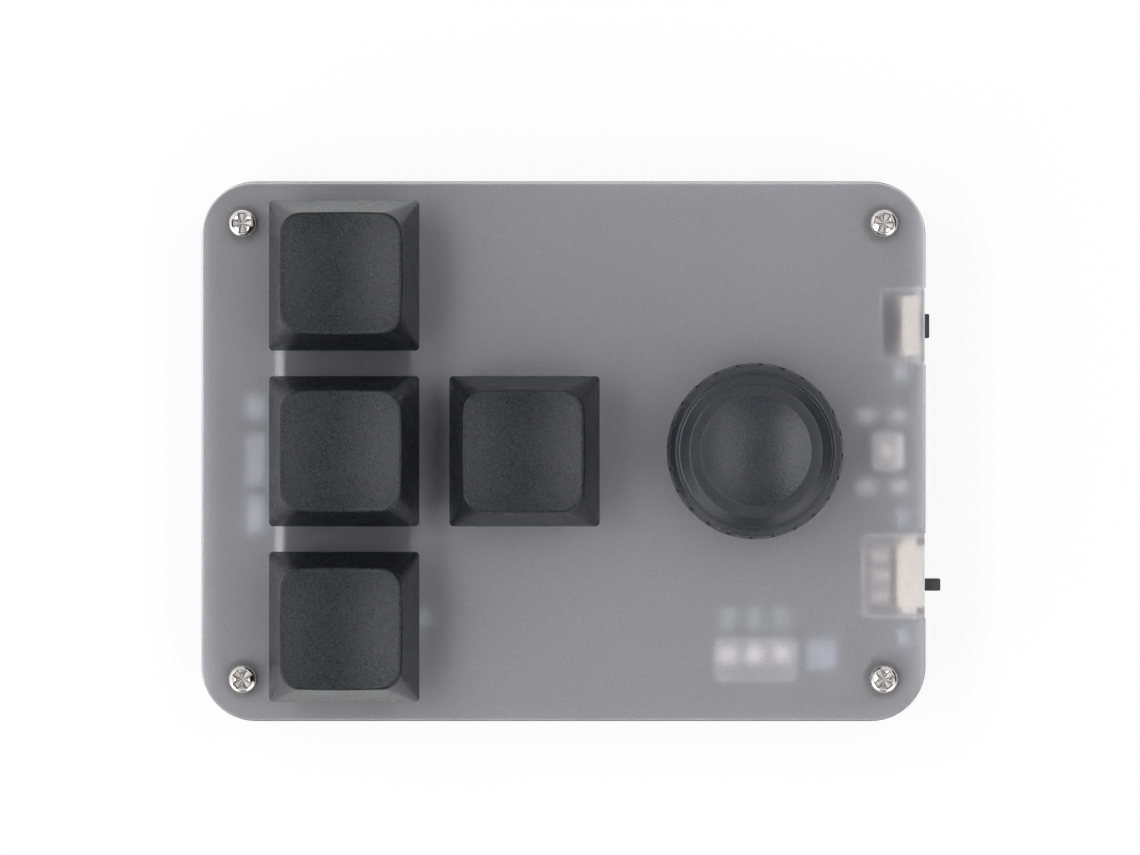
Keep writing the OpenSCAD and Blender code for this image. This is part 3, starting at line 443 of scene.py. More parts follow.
def pockets(edge_x):
    """Pockets in the lid's underside.

    Each has its middle, size, corner radius and softness, how many times the lid's milkiness it
    gains inside and at its left and right walls, partly for the thinner lid and partly as painted
    light and shade, and the walls' width. The rows are in mm.
    """
    column_low, column_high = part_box("switch_base_3")[0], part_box("switch_base_1")[1]
    column = (column_low + column_high) / 2
    column_h = (column_high.y - column_low.y) / MM + 1.7
    key, lights = middle(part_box("switch_base_4")), middle(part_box("status_leds"))
    button_y = middle(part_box("side_button_housing")).y
    slide_y = middle(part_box("slide_switch_housing")).y
    rows = [
        # The three keys at the left, and the fourth
        (column[:2], (17.3, column_h), 1, 0.4, -0.75, (2.7, 0.6), 0.9),
        (key[:2], (17.3, 17.3), 1, 0.5, -0.2, (0.4, 0.7), 0.9),
        # The side button, and its clearer inner part
        ((edge_x - 2.3 * MM, button_y), (6.6, 9.2), 1, 0.5, -0.15, (0.3, 0.4), 0.5),
        ((edge_x - 3.9 * MM, button_y), (2.4, 6.4), 1, 0.9, -0.55, (0, 0), 0.5),
        # The slide switch, and a clearer strip in it
        ((edge_x - 3.4 * MM, slide_y), (8.8, 10.4), 1, 0.5, 0, (0.35, 0.75), 0.5),
        ((edge_x - 3.8 * MM, slide_y), (0.6, 6.6), 0.3, 0.5, -0.9, (0, 0), 0.4),
        # The status lights
        ((lights.x, lights.y - 0.45 * MM), (10.2, 5.2), 1, 0.7, 0.33, (0.15, 0.15), 0.5),
        # The USB-C socket, and a milkier strip in it
        ((edge_x - 4.5 * MM, 0), (4, 4.7), 1, 0.5, 0.75, (0.1, 0.1), 0.5),
        ((edge_x - 3.1 * MM, 0), (0.7, 3.4), 0.3, 0.7, 1.2, (0, 0), 0.4),
    ]
    return [
        (place, (w * MM, h * MM), radius * MM, soft * MM, inside, walls, wall_w * MM)
        for place, (w, h), radius, soft, inside, walls, wall_w in rows
    ]


def pocket_milk_and_light(tree, place, pocket):
    """What one pocket adds to the lid's milkiness inside it and at its walls.

    It is partly the thinner lid there, and partly painted light and shade, such as the bright
    bands at its walls.
    """
    centre, size, radius, soft, inside, walls, wall_w = pocket
    away = outline_distance(tree, place, centre, size, radius)
    from_wall = math_node(tree, "ABSOLUTE", math_node(tree, "ADD", away, wall_w / 2))
    half_x = size[0] / 2
    along = split(tree, place)["X"]
    wall = ramp(tree, along, centre[0] - half_x, centre[0] + half_x, *walls)
    return [
        ramp(tree, away, -soft, soft, inside, 0),
        math_node(tree, "MULTIPLY", ramp(tree, from_wall, 0, wall_w, 1, 0), wall),
    ]


# Shade of the base wall's notches. At each end of the slide switch it is two patches, whose middles
# lie this far in from the lid's edge. For each patch: distance from the body's end towards its
# middle, size and share of light
SLIDE_NOTCH_IN = 0.45 * MM
SLIDE_NOTCH = [(0, (1.0 * MM, 1.7 * MM), 0.8), (0.4 * MM, (0.9 * MM, 0.7 * MM), 0.7)]
# At the side button it is one patch: distance in from the lid's edge, size and share of light
BUTTON_NOTCH = (0.25 * MM, (0.5 * MM, 8.6 * MM), 0.7)
# The patches' corner radius, and where they begin and end, from their outline outwards
NOTCH_R = 0.2 * MM
NOTCH_SOFT = (-0.25 * MM, 0.35 * MM)


def notch_shades(edge_x):
    """Where the notches show beside the two side parts: middle, size and share of light."""
    low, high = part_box("slide_switch_housing")
    shades = []
    for inward, size, share in SLIDE_NOTCH:
        for y in (high.y - inward, low.y + inward):
            shades.append(((edge_x - SLIDE_NOTCH_IN, y), size, share))
    inward, size, share = BUTTON_NOTCH
    button_y = middle(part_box("side_button_housing")).y
    shades.append(((edge_x - inward, button_y), size, share))
    return shades


def haze_lid_and_paint_light(material):
    """Makes the lid milkier at its edges and pockets, and shades it over the wall's notches.

    The edges' glow is painted light, the pockets' milkiness is partly their thinner lid and partly
    painted light and shade, and the shade over the notches is painted.
    """
    tree = material.node_tree
    place = object_place(tree)
    parts = split(tree, place)
    low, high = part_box("top_lid")
    mid, size = (low + high) / 2, high - low
    aside = math_node(tree, "ABSOLUTE", math_node(tree, "SUBTRACT", parts["X"], mid.x))
    glow = ramp(tree, aside, size.x / 2 - LID_GLOW_W, size.x / 2, 0, 1, smooth=False)
    glow = math_node(tree, "POWER", glow, LID_GLOW_POWER)
    glow_share = ramp(tree, parts["X"], low.x, high.x, *LID_GLOW)
    edge = outline_distance(tree, place, mid[:2], size[:2], LID_CORNER_R)
    rim = ramp(tree, edge, -LID_RIM_W, 0, 0, 1)
    rim_share = ramp(tree, parts["Y"], low.y, high.y, *LID_RIM)
    amounts = [
        math_node(tree, "MULTIPLY", glow, glow_share),
        math_node(tree, "MULTIPLY", rim, rim_share),
    ]
    for pocket in pockets(high.x):
        amounts += pocket_milk_and_light(tree, place, pocket)
    # The lid's own milkiness, with the painted glow, the painted rim light and the pockets' painted
    # light and shade
    milk_and_light = math_node(tree, "MULTIPLY", combine(tree, "ADD", [*amounts, 1.0]), LID_MILK)
    clear = math_node(tree, "SUBTRACT", 1.0, milk_and_light)
    tree.links.new(clear, tree.nodes["Principled BSDF"].inputs["Transmission Weight"])
    for centre, size, share in notch_shades(high.x):
        away = outline_distance(tree, place, centre, size, NOTCH_R)
        multiply_colour(tree, ramp(tree, away, *NOTCH_SOFT, share, 1))


# Base wall's top: where its shade begins and is full, from the top, and its share of light
WALL_TOP = (-0.35 * MM, -0.05 * MM)
WALL_TOP_SHARE = 0.3


def shade_wall_top(material):
    """Darkens the base's wall at the lid, as the light that enters there is lost inside."""
    tree = material.node_tree
    wall_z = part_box("base_shell")[1].z
    start, end = (wall_z + z for z in WALL_TOP)
    up = split(tree, object_place(tree))["Z"]
    multiply_colour(tree, ramp(tree, up, start, end, 1.0, WALL_TOP_SHARE))


FRONT_TINT = (0.96, 0.93, 0.9)
# Where the tint ends, across the object's middle
TINT_SOFT = (-0.1 * MM, 0.1 * MM)


def tint_front(material, tint):
    """Tints what lies in the front half of the object, which is the slide switch's body."""
    tree = material.node_tree
    back = ramp(tree, split(tree, object_place(tree))["Y"], *TINT_SOFT, 0, 1)
    mix = vector_node(tree, "SUBTRACT", (1, 1, 1), tint)
    multiply_colour(tree, vector_node(tree, "ADD", vector_node(tree, "MULTIPLY", mix, back), tint))


# Slide switch's leads: where their shade begins and is full, from the body's left side, and their
# shares of light there
LEAD_SHADE = (-1.1 * MM, -0.5 * MM)
LEAD_SHARES = (1, 0.03)


def shade_leads(material):
    """Darkens the slide switch's leads beside its body."""
    tree = material.node_tree
    body_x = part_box("slide_switch_housing")[0].x
    start, end = (body_x + x for x in LEAD_SHADE)
    along = split(tree, object_place(tree))["X"]
    multiply_colour(tree, ramp(tree, along, start, end, *LEAD_SHARES))


SCREW_HEAD_R = 1.68 * MM
# Below its top a screw's head drops by about this times the square of the distance from its axis
HEAD_DROP = 130.0
# Cross recess: how deep its dark wall and its floor begin and end below the head's surface, and how
# far from the axis its shade ends
RECESS_WALL = (0.03 * MM, 0.08 * MM)
RECESS_FLOOR = (0.3 * MM, 0.42 * MM)
RECESS_SPAN = (1.26 * MM, 1.32 * MM)
# Its wall's and its floor's share of light, and how much rougher it is
RECESS_SHARES = (0.14, 0.62)
RECESS_ROUGH = 0.4


def shade_recess(material):
    """Darkens and roughens the walls and the floor of the screws' recesses."""
    tree = material.node_tree
    low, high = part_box("lid_screws")
    mid = (low + high) / 2
    place = object_place(tree)
    corner = vector_node(tree, "ABSOLUTE", vector_node(tree, "SUBTRACT", place, (*mid.xy, 0)))
    axis = (high.x - mid.x - SCREW_HEAD_R, high.y - mid.y - SCREW_HEAD_R, 0)
    off = vector_node(tree, "MULTIPLY", vector_node(tree, "SUBTRACT", corner, axis), (1, 1, 0))
    r = vector_node(tree, "LENGTH", off)
    drop = combine(tree, "MULTIPLY", [r, r, HEAD_DROP])
    depth = combine(tree, "SUBTRACT", [high.z, split(tree, place)["Z"], drop])
    below, near = ramp(tree, depth, *RECESS_WALL, 0, 1), ramp(tree, r, *RECESS_SPAN, 1, 0)
    inside = math_node(tree, "MULTIPLY", below, near)
    lost = math_node(tree, "SUBTRACT", 1.0, ramp(tree, depth, *RECESS_FLOOR, *RECESS_SHARES))
    share = math_node(tree, "SUBTRACT", 1.0, math_node(tree, "MULTIPLY", inside, lost))
    multiply_colour(tree, share)
    rough = tree.nodes["Principled BSDF"].inputs["Roughness"]
    more = math_node(tree, "MULTIPLY", inside, RECESS_ROUGH)
    tree.links.new(math_node(tree, "ADD", rough.links[0].from_socket, more), rough)


def make_materials():
    """One material for each material slot of the record, for the print and for the leads."""
    made = {
        name: surface(name, colour, roughness, **options)
        for name, (colour, roughness, options) in LOOKS.items()
    }
    haze_lid_and_paint_light(made["frosted_lid"])
    shade_wall_top(made["base_plastic"])
    tint_front(made["cream_plastic"], FRONT_TINT)
    shade_recess(made["screw_steel"])
    shade_leads(made["slide_leads"])
    return made


# Meshes

def add_piece(name, bm, body, material, replaced=(), sharp=40):
    """Turns a bmesh into a piece that rides on a body and may stand for CAD nodes."""
    bmesh.ops.recalc_face_normals(bm, faces=bm.faces)
    mesh = bpy.data.meshes.new(name)
    bm.to_mesh(mesh)
    bm.free()
    mesh.materials.append(material)
    mesh.shade_smooth()
    mesh.set_sharp_from_angle(angle=math.radians(sharp))
    piece = bpy.data.objects.new(name, mesh)
    bpy.context.scene.collection.objects.link(piece)
    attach(piece, body)
    if replaced:
        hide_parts(*replaced)
    return piece


def skin(bm, rings):
    """Joins rings of points into a closed skin. The first and last ring are single points."""
    rows = [[bm.verts.new(p) for p in ring] for ring in rings]
    count = max(len(row) for row in rows)
    for low, high in zip(rows, rows[1:]):
        for k in range(count):
            m = (k + 1) % count
            corners = [
                low[k % len(low)], low[m % len(low)], high[m % len(high)], high[k % len(high)],
            ]
            bm.faces.new(list(dict.fromkeys(corners)))


def circle(steps):
    """Unit vectors all round, anticlockwise."""
    turns = [math.tau * k / steps for k in range(steps)]
    return [Vector((math.cos(turn), math.sin(turn))) for turn in turns]


def rounded_outline(half, radius, corner_steps=10, side_steps=10):
    """A square's outline with round corners, anticlockwise.

    It has the same number of points for any radius.
    """
    points = []
    inner = half - radius
    centres = [(inner, inner), (-inner, inner), (-inner, -inner), (inner, -inner)]
    for q, (cx, cy) in enumerate(centres):
        for k in range(corner_steps + 1):
            a = math.radians(90 * (q + k / corner_steps))
            points.append(Vector((cx + radius * math.cos(a), cy + radius * math.sin(a))))
        end = points[-1]
        nx, ny = centres[(q + 1) % 4]
        a = math.radians(90 * (q + 1))
        start = Vector((nx + radius * math.cos(a), ny + radius * math.sin(a)))
        points += [end.lerp(start, k / side_steps) for k in range(1, side_steps)]
    return points


def bezier(a, b, c, steps):
    """Points of the curve that leaves a towards b and arrives at c."""
    shares = [k / steps for k in range(steps + 1)]
    return [a.lerp(b, share).lerp(b.lerp(c, share), share) for share in shares]


# Keycap: how much narrower its top is than its lower edge, and the corner radius of each
CAP_LEAN = 3.85 * MM
CAP_LOW_R = 0.5 * MM
CAP_TOP_R = 2.5 * MM
CAP_WALL = 1.3 * MM
CAP_ROOF = 1.5 * MM
# Depth of the dish, width of the round rim and of the bevel at the lower edge
CAP_DISH = 1.3 * MM
CAP_RIM = 0.42 * MM
CAP_FOOT = 0.12 * MM
# Where its side has points, as shares of the way up to the rim, and then as rim widths below it
CAP_SIDE_STEPS = (0.3, 0.6)
CAP_RIM_HOLD = 1.4
CAP_RIM_STEPS = 5
# Where its dish has points, as shares of the way from the middle to the rim
CAP_DISH_STEPS = (0.97, 0.9, 0.8, 0.68, 0.55, 0.42, 0.3, 0.18, 0.08)
# How often the rim's height is worked out again from its place on the leaning side
CAP_RIM_ROUNDS = 12
# Socket: radius, distance above the keycap's lower edge, and depth of its hole
SOCKET_R = 2.75 * MM
SOCKET_RISE = 0.3 * MM
SOCKET_DEPTH = 4.1 * MM
SOCKET_STEPS = 48
# Length and width of the hole's arms
CROSS = (4.06 * MM, 1.26 * MM)


def cap_column(foot, top, height, dish):
    """Points up a keycap's side, over its rim and across its dish nearly to the middle."""
    start, end = Vector((*foot, 0)), Vector((*top, height))
    share = 1.0
    for _ in range(CAP_RIM_ROUNDS):
        p = start.lerp(end, share)
        share = dish(p.x, p.y) / height
    rim = start.lerp(end, share)
    up = (end - start).normalized()
    flat = Vector((rim.x, rim.y))
    inward = flat * (1 - CAP_RIM / flat.length)
    landing = Vector((*inward, dish(*inward)))
    column = [start + Vector((*(-foot.normalized() * CAP_FOOT), 0)), start + up * CAP_FOOT]
    column += [start.lerp(rim, s) for s in CAP_SIDE_STEPS]
    column.append(rim - up * CAP_RIM * CAP_RIM_HOLD)
    column += bezier(rim - up * CAP_RIM, rim, landing, CAP_RIM_STEPS)
    for s in CAP_DISH_STEPS:
        p = inward * s
        column.append(Vector((*p, dish(*p))))
    return column


def keycap(number, material):
    """A hollow keycap with leaning sides, a round rim and a dished top."""
    name = f"keycap_{number}"
    low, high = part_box(name)
    mid = (low + high) / 2
    half_low, height = (high.x - low.x) / 2, high.z - low.z
    half_top = half_low - CAP_LEAN / 2
    corner = (half_top - CAP_TOP_R) * math.sqrt(2) + CAP_TOP_R
    ball = (corner**2 + CAP_DISH**2) / (2 * CAP_DISH)

    def dish(x, y):
        return height - CAP_DISH + ball - math.sqrt(ball**2 - x**2 - y**2)

    foot = rounded_outline(half_low, CAP_LOW_R)
    top = rounded_outline(half_top, CAP_TOP_R)
    columns = [cap_column(a, b, height, dish) for a, b in zip(foot, top)]
    ceiling = height - CAP_DISH - CAP_ROOF
    inner_low = rounded_outline(half_low - CAP_WALL, CAP_LOW_R)
    inner_top = rounded_outline(half_top - CAP_WALL, CAP_TOP_R)
    inner_top = [a.lerp(b, ceiling / height) for a, b in zip(inner_low, inner_top)]
    bm = bmesh.new()
    skin(bm, [
        [Vector((0, 0, ceiling))],
        [Vector((*p, ceiling)) for p in inner_top],
        [Vector((*p, 0)) for p in inner_low],
        *zip(*columns),
        [Vector((0, 0, dish(0, 0)))],
    ])
    socket(bm, ceiling + CAP_ROOF / 2)
    bmesh.ops.translate(bm, verts=bm.verts, vec=(mid.x, mid.y, low.z))
    add_piece(f"{name}_fine", bm, f"key_{number}", material, (name,))


def socket(bm, top_z):
    """The round post under a keycap, with the cross-shaped hole that the stem goes into."""
    long, short = CROSS[0] / 2, CROSS[1] / 2
    cross = []
    for q in range(4):
        c, s = math.cos(math.radians(90 * q)), math.sin(math.radians(90 * q))
        for x, y in ((long, -short), (long, short), (short, short)):
            cross.append((x * c - y * s, x * s + y * c))
    post = [SOCKET_R * c for c in circle(SOCKET_STEPS)]
    edges = []
    for outline, far_z in ((post, top_z), (cross, SOCKET_RISE + SOCKET_DEPTH)):
        near = [bm.verts.new((*p, SOCKET_RISE)) for p in outline]
        far = [bm.verts.new((*p, far_z)) for p in outline]
        for k in range(len(outline)):
            m = (k + 1) % len(outline)
            bm.faces.new((near[k], near[m], far[m], far[k]))
            edges.append(bm.edges.get((near[k], near[m])))
        bm.faces.new(far)
    bmesh.ops.triangle_fill(bm, use_beauty=True, edges=edges)


# Knob, in mm and from its foot up. Inside: the shaft's bore, the hub and the hollow round it
BORE_R = 3.05
BORE_BELOW_TOP = 3
HUB_R = 5
HUB_Z = 5.1
HOLLOW_R = 8.65
HOLLOW_BELOW_SHOULDER = 1.6
# Outside: radius at the bevel, heights of the crown and the bevel, and width of the bevel
KNOB_R = 10.25
KNOB_CROWN_H = 1.5
KNOB_BEVEL_H = 0.7
KNOB_BEVEL_W = 0.59
# How far the rim flares outwards, and over what height
KNOB_FLARE = (0.3, 2.0)
# The dish's radius and depth
KNOB_DISH = (6.6, 1.1)
# Steps of the crown: how far in from the knob's radius and above its shoulder, and corner radius
CROWN_STEPS = [
    (KNOB_BEVEL_W, 0, 0.03), (KNOB_BEVEL_W, 0.12, 0.11), (0.89, 0.12, 0.04), (1.01, 0.32, 0.08),
    (1.22, 0.37, 0.05),
]
CROWN_EDGE_IN = 2.28
# Flutes: number, turn of the first in degrees, radius, depth, and how far each one's floor lies
# above the upright part of the rim
FLUTES = 24
FLUTE_PHASE = -3
FLUTE_R = 0.35
FLUTE_DEEP = 0.18
FLUTE_LIFT = 0.3
# Angles from a flute's middle at which the knob's rings have points, in degrees
FLUTE_STEPS = (-7, -4.5, -2.4, -1.8, -1.55, -1.2, -0.8, -0.4, 0, 0.4, 0.8, 1.2, 1.55, 1.8, 2.4, 4.5)
# Heights of rings on the rim, from the flutes' floor up and from the bevel down
RIM_ABOVE_FLOOR = (-0.002, 0, 0.5, 1)
RIM_BELOW_BEVEL = 0.2
# Heights of rings on the bevel, where the flutes run out
BEVEL_RINGS = [0.04 * k for k in range(2, 10)]
DISH_STEPS = 12


def rounded_profile(points, steps=4):
    """Points, in metres, of a profile whose corners are rounded.

    A given point is a radius, a height and a corner radius, all in mm.
    """
    made = []
    for k, (x, z, r) in enumerate(points):
        here = Vector((x, z)) * MM
        if r == 0 or k in (0, len(points) - 1):
            made.append(here)
            continue
        before = Vector(points[k - 1][:2]) * MM
        after = Vector(points[k + 1][:2]) * MM
        a = here + (before - here).normalized() * r * MM
        b = here + (after - here).normalized() * r * MM
        made += bezier(a, here, b, steps)
    return made


def fluted(r, z, angle, flare_z):
    """The knob's radius at a height and at an angle from a flute's middle, in mm.

    r is the radius between the flutes.
    """
    flare, flare_h = KNOB_FLARE
    axis_r = KNOB_R + flare + FLUTE_R - FLUTE_DEEP - (z - flare_z) * flare / flare_h
    aside = axis_r * math.sin(angle)
    if z < flare_z + FLUTE_LIFT or abs(aside) >= FLUTE_R:
        return r
    return min(r, axis_r * math.cos(angle) - math.sqrt(FLUTE_R**2 - aside**2))


def knob_profile(height):
    """The knob's profile between the flutes, for rounded_profile, and where its flare begins."""
    shoulder = height - KNOB_CROWN_H
    bevel_z = shoulder - KNOB_BEVEL_H
    flare, flare_h = KNOB_FLARE
    flare_z = bevel_z - flare_h
    floor_z = flare_z + FLUTE_LIFT
    bore_z, hollow_z = height - BORE_BELOW_TOP, shoulder - HOLLOW_BELOW_SHOULDER
    profile = [
        (0, bore_z, 0), (BORE_R, bore_z, 0), (BORE_R, HUB_Z, 0), (HUB_R, HUB_Z, 0.1),
        (HUB_R, hollow_z, 0), (HOLLOW_R, hollow_z, 0), (HOLLOW_R, 0, 0.1),
        (KNOB_R + flare, 0, 0.3), (KNOB_R + flare, flare_z, 0.1),
    ]
    for z in (*(floor_z + up for up in RIM_ABOVE_FLOOR), bevel_z - RIM_BELOW_BEVEL):
        profile.append((KNOB_R + flare * (bevel_z - z) / flare_h, z, 0))
    profile.append((KNOB_R, bevel_z, 0.05))
    for up in BEVEL_RINGS:
        profile.append((KNOB_R - KNOB_BEVEL_W * up / KNOB_BEVEL_H, bevel_z + up, 0))
    for inward, up, r in CROWN_STEPS:
        profile.append((KNOB_R - inward, shoulder + up, r))
    dish_r, dish_deep = KNOB_DISH
    ball = (dish_r**2 + dish_deep**2) / (2 * dish_deep)
    profile += [(KNOB_R - CROWN_EDGE_IN, height, 0.15), (dish_r, height, 0.12)]
    for k in range(1, DISH_STEPS):
        r = dish_r * (1 - k / DISH_STEPS)
        profile.append((r, height - dish_deep + ball - math.sqrt(ball**2 - r**2), 0))
    profile.append((0, height - dish_deep, 0))
    return profile, flare_z


def knob(material):
    """A hollow knob with a fluted and flared rim, a bevel, a stepped crown and a dished top."""
    low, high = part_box("knob")
    mid = (low + high) / 2
    profile, flare_z = knob_profile((high.z - low.z) / MM)
    angles = [(360 * k / FLUTES, step) for k in range(FLUTES) for step in FLUTE_STEPS]
    rings = []
    for p in rounded_profile(profile):
        ring = []
        for turn, step in angles:
            r = fluted(p.x / MM, p.y / MM, math.radians(step), flare_z) * MM
            a = math.radians(FLUTE_PHASE + turn + step)
            ring.append(Vector((r * math.cos(a), r * math.sin(a), p.y)))
        rings.append(ring)
    rings[0], rings[-1] = rings[0][:1], rings[-1][:1]
    bm = bmesh.new()
    skin(bm, rings)
    bmesh.ops.translate(bm, verts=bm.verts, vec=(mid.x, mid.y, low.z))
    add_piece("knob_fine", bm, "knob", material, ("knob",), sharp=35)


# Lid screws: turn of each one's recess in degrees, and points round each
SCREW_TURNS = (2, -20, 45, 36)
SCREW_STEPS = 144
# Its rod's tip, its rod and its head's side: radius, and height above the tip or the lid
TIP_PROFILE = [(0.75 * MM, 0), (0.95 * MM, 0.2 * MM)]
SIDE_PROFILE = [(0.95 * MM, 0), (1.55 * MM, 0), (1.65 * MM, 0.12 * MM), (SCREW_HEAD_R, 0.3 * MM)]
# Its head's top: a flat dome inside, then a rounder shoulder
DOME_R = 3.9 * MM
SHOULDER_FROM = 1.15 * MM
SHOULDER_R = 0.85 * MM
# Rings from the top's outer radius in to the bevel round the recess, as shares of that way
HEAD_OUTER_R = 1.675 * MM
RECESS_BEVEL = 0.05 * MM
HEAD_RINGS = (0, 0.06, 0.13, 0.21, 0.3, 0.42, 0.56, 0.72, 0.88, 0.96, 1)
# Cross recess: half its span, half its arms' width, and the reach of its inner corners
RECESS_HALF = 1.22 * MM
RECESS_ARM = 0.45 * MM
RECESS_CORNER = 0.74 * MM
# Rings in it, as a share of its reach and a depth below its edge, and its depth below the top
RECESS_RINGS = [
    (1, 0.05 * MM), (0.97, 0.2 * MM), (0.92, 0.44 * MM), (0.55, 0.48 * MM), (0.3, 0.6 * MM),
]
RECESS_DEEP = 0.8 * MM


def cross_reach(direction):
    """How far the cross recess reaches from the screw's axis, in a direction from its arm."""
    aside, along = sorted((abs(direction.x), abs(direction.y)))
    end = RECESS_HALF / along
    side = RECESS_ARM / max(aside, 1e-6)
    return max(min(end, side), RECESS_CORNER)


def dome(r):
    """How far a head's surface lies below its top, at a distance from its axis."""
    lean = math.asin(min(r, SHOULDER_FROM) / DOME_R)
    drop = DOME_R * (1 - math.cos(lean))
    if r > SHOULDER_FROM:
        steep = math.asin(math.sin(lean) + (r - SHOULDER_FROM) / SHOULDER_R)
        drop += SHOULDER_R * (math.cos(lean) - math.cos(steep))
    return drop


def screws(material):
    """Pan-head screws with a cross recess whose edges catch the light."""
    low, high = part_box("lid_screws")
    mid = (low + high) / 2
    reach_x, reach_y = high.x - mid.x - SCREW_HEAD_R, high.y - mid.y - SCREW_HEAD_R
    rays = circle(SCREW_STEPS)
    reaches = [cross_reach(ray) for ray in rays]
    sides = [(r, low.z + up) for r, up in TIP_PROFILE]
    sides += [(r, deck_z + up) for r, up in SIDE_PROFILE]
    bm = bmesh.new()
    for (i, j), turn in zip([(-1, 1), (1, 1), (-1, -1), (1, -1)], SCREW_TURNS):
        at = Vector((mid.x + i * reach_x, mid.y + j * reach_y))
        spin = Matrix.Rotation(math.radians(turn), 2)
        spun = [spin @ ray for ray in rays]
        rings = [[Vector((*at, low.z))]]
        for r, z in sides:
            rings.append([Vector((*(at + r * ray), z)) for ray in rays])
        for share in HEAD_RINGS:
            ring = []
            for ray, reach in zip(spun, reaches):
                r = HEAD_OUTER_R * (1 - share) + (reach + RECESS_BEVEL) * share
                ring.append(Vector((*(at + r * ray), high.z - dome(r))))
            rings.append(ring)
        for share, deep in RECESS_RINGS:
            ring = []
            for ray, reach in zip(spun, reaches):
                ring.append(Vector((*(at + reach * share * ray), high.z - dome(reach) - deep)))
            rings.append(ring)
        rings.append([Vector((*at, high.z - RECESS_DEEP))])
        skin(bm, rings)
    add_piece("lid_screws_fine", bm, "case", material, ("lid_screws",), sharp=30)


# Solder mound: its half length and half width, its height, and how far in from the node's box its
# middle lies
SOLDER_HALF = (1.4 * MM, 0.9 * MM)
SOLDER_H = 0.45 * MM
SOLDER_IN = 1 * MM
SOLDER_RINGS = 6
SOLDER_STEPS = 24


def solder(material):
    """Oval solder mounds over the USB-C socket's stakes."""
    low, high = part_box("usb_solder")
    half_x, half_y = SOLDER_HALF
    bm = bmesh.new()
    for x in (low.x + SOLDER_IN, high.x - SOLDER_IN):
        for y in (low.y + SOLDER_IN, high.y - SOLDER_IN):
            rings = [[Vector((x, y, low.z))]]
            for k in range(SOLDER_RINGS):
                lean = math.pi / 2 * k / SOLDER_RINGS
                out, z = math.cos(lean), low.z + SOLDER_H * math.sin(lean)
                rings.append([
                    Vector((x + half_x * out * c.x, y + half_y * out * c.y, z))
                    for c in circle(SOLDER_STEPS)
                ])
            rings.append([Vector((x, y, low.z + SOLDER_H))])
            skin(bm, rings)
    add_piece("usb_solder_fine", bm, "case", material, ("usb_solder",))


# Bevels of the side parts' blocks and stems
BLOCK_BEVEL = 0.08 * MM
STEM_BEVEL = 0.16 * MM
BEVEL_STEPS = 3


def bevelled_box(bm, low, high, bevel):
    """Adds a box between two corners, with rounded edges."""
    made = bmesh.ops.create_cube(bm, size=1)
    for v in made["verts"]:
        v.co = Vector([(a + b) / 2 + (b - a) * c for a, b, c in zip(low, high, v.co)])
    edges = list({e for v in made["verts"] for e in v.link_edges})
    bmesh.ops.bevel(
        bm, geom=edges, offset=bevel, segments=BEVEL_STEPS, affect="EDGES", profile=0.5
    )


def edge_slider(node, body, stem, block_l, material):
    """A black actuator on the right edge: a bevelled stem in front of a block.

    stem is the stem's width and height, and block_l is how far the block reaches in x.
    """
    low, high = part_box(node)
    mid = (low + high) / 2
    half_y, half_z = stem[0] / 2, stem[1] / 2
    stem_low = (low.x + block_l / 2, mid.y - half_y, mid.z - half_z)
    bm = bmesh.new()
    bevelled_box(bm, low, (low.x + block_l, high.y, high.z), BLOCK_BEVEL)
    bevelled_box(bm, stem_low, (high.x, mid.y + half_y, mid.z + half_z), STEM_BEVEL)
    add_piece(f"{node}_fine", bm, body, material, (node,))


SPRING_TURNS = 10
SPRING_WIRE_R = 0.2 * MM
# Points along one turn, and round the wire
SPRING_STEPS = 16
SPRING_SIDES = 8


def spring(number, material):
    """A key's coil spring."""
    node = f"switch_spring_{number}"
    low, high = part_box(node)
    mid = (low + high) / 2
    coil_r = (high.x - low.x) / 2 - SPRING_WIRE_R
    length = high.z - low.z - 2 * SPRING_WIRE_R
    count = SPRING_TURNS * SPRING_STEPS
    rings = []
    for k in range(count + 1):
        turn = math.tau * k / SPRING_STEPS
        out = Vector((math.cos(turn), math.sin(turn), 0))
        up = low.z + SPRING_WIRE_R + length * k / count
        centre = Vector((mid.x, mid.y, up)) + out * coil_r
        ring = [out * c.x + Vector((0, 0, c.y)) for c in circle(SPRING_SIDES)]
        rings.append([centre + p * SPRING_WIRE_R for p in ring])
    ends = [sum(ring, Vector()) / SPRING_SIDES for ring in (rings[0], rings[-1])]
    bm = bmesh.new()
    skin(bm, [[ends[0]], *rings, [ends[1]]])
    piece = add_piece(f"{node}_fine", bm, "case", material, (node,))
    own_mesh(piece)


# Print on the board: its thickness, and patches as middle and size in the photograph's pixels
PRINT_T = 0.04 * MM
PATCH_PX = [((821, 655), (30, 28))]
SPOT_PX = [
    ((256, 408), (17, 22)), ((256, 460), (17, 52)), ((256, 514), (17, 36)),
    ((901, 372), (14, 18)), ((905, 520), (15, 20)), ((905, 637), (15, 22)), ((425, 617), (10, 16)),
]
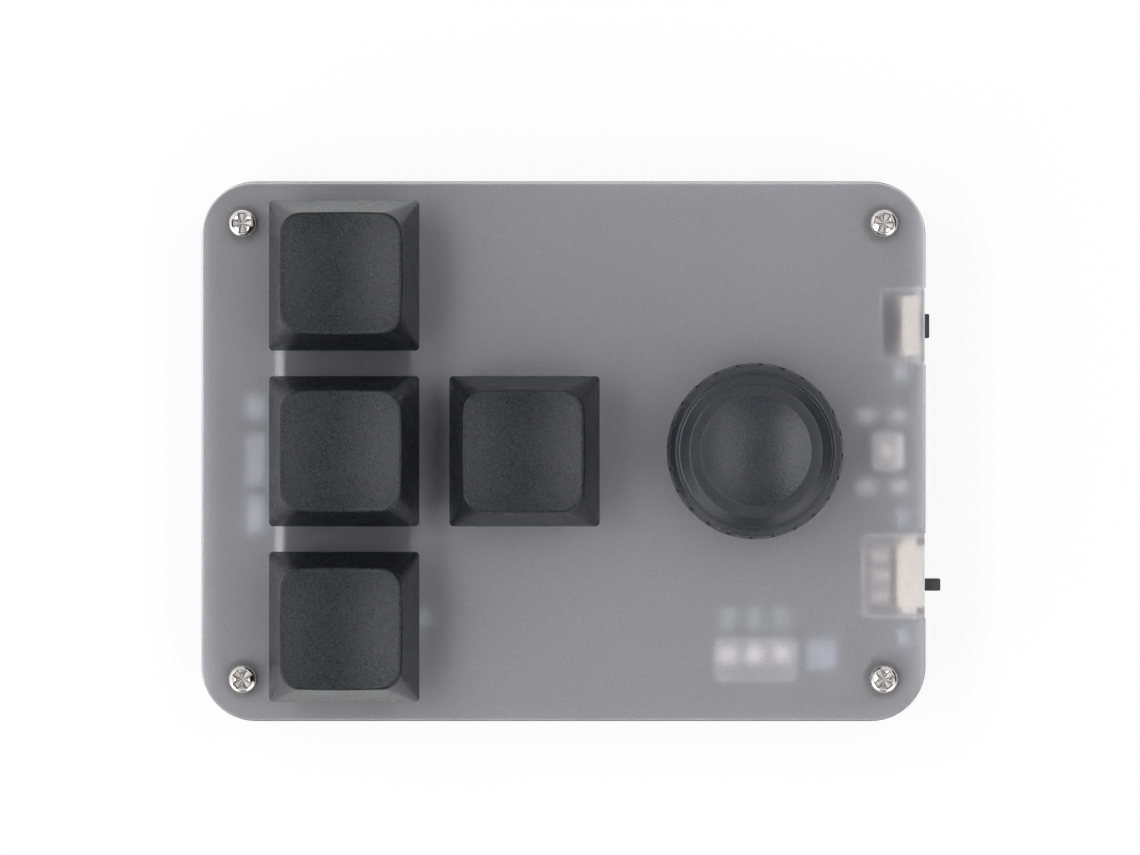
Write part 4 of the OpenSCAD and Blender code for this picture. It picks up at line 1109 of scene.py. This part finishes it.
# A label beside each status light: its middle, and its bars' places from there and sizes
LABEL_PX = [(727.8, 619), (754.8, 619), (781.8, 619)]
LABEL_BARS = [((0, 8), (16, 4)), ((0, 0), (12, 4)), ((0, -8), (16, 4))]


def board_print(name, patches, material):
    """Plain patches of print on the board, which show blurred through the lid."""
    bm = bmesh.new()
    for (px, py), (w, h) in patches:
        x, y = on_board(px, py)
        half_w, half_h = w / LID_PX_PER_MM / 2 * MM, h / LID_PX_PER_MM / 2 * MM
        signs = [(-1, -1), (1, -1), (1, 1), (-1, 1)]
        corners = [(x + i * half_w, y + j * half_h) for i, j in signs]
        low = [bm.verts.new((*c, board_top_z)) for c in corners]
        high = [bm.verts.new((*c, board_top_z + PRINT_T)) for c in corners]
        bm.faces.new(low)
        bm.faces.new(high)
        for k in range(4):
            m = (k + 1) % 4
            bm.faces.new((low[k], low[m], high[m], high[k]))
    add_piece(name, bm, "case", material)


# For each side part: its node, its body, its stem's width and height, and its block's length
EDGE_SLIDERS = [
    ("side_button_plunger", "side_button", (2.95 * MM, 1.5 * MM), 0.4 * MM),
    ("slide_switch_slider", "slide_switch", (1.5 * MM, 1.5 * MM), 1.6 * MM),
]

make_camera()
make_world()
make_lamps()
make_floor()
materials = make_materials()
node_looks = {sub["node"]: sub["material_slot"] for sub in frame["record"]["subparts"]}
node_looks["slide_switch_leads"] = "slide_leads"
for node, look in node_looks.items():
    for holder in frame["nodes"][node].material_slots:
        holder.material = materials[look]
for number in range(1, 5):
    keycap(number, materials["keycap_plastic"])
    spring(number, materials["spring_steel"])
knob(materials["knob_plastic"])
screws(materials["screw_steel"])
solder(materials["tinned_leads"])
for node, body, stem, block_l in EDGE_SLIDERS:
    edge_slider(node, body, stem, block_l, materials["black_plastic"])
board_print("board_patches", PATCH_PX, materials["print_pale"])
board_print("board_spots", SPOT_PX, materials["print_bright"])
labels = [((x + dx, y + dy), size) for x, y in LABEL_PX for (dx, dy), size in LABEL_BARS]
board_print("board_labels", labels, materials["print_grey"])

bpy.context.scene.view_settings.view_transform = "Standard"
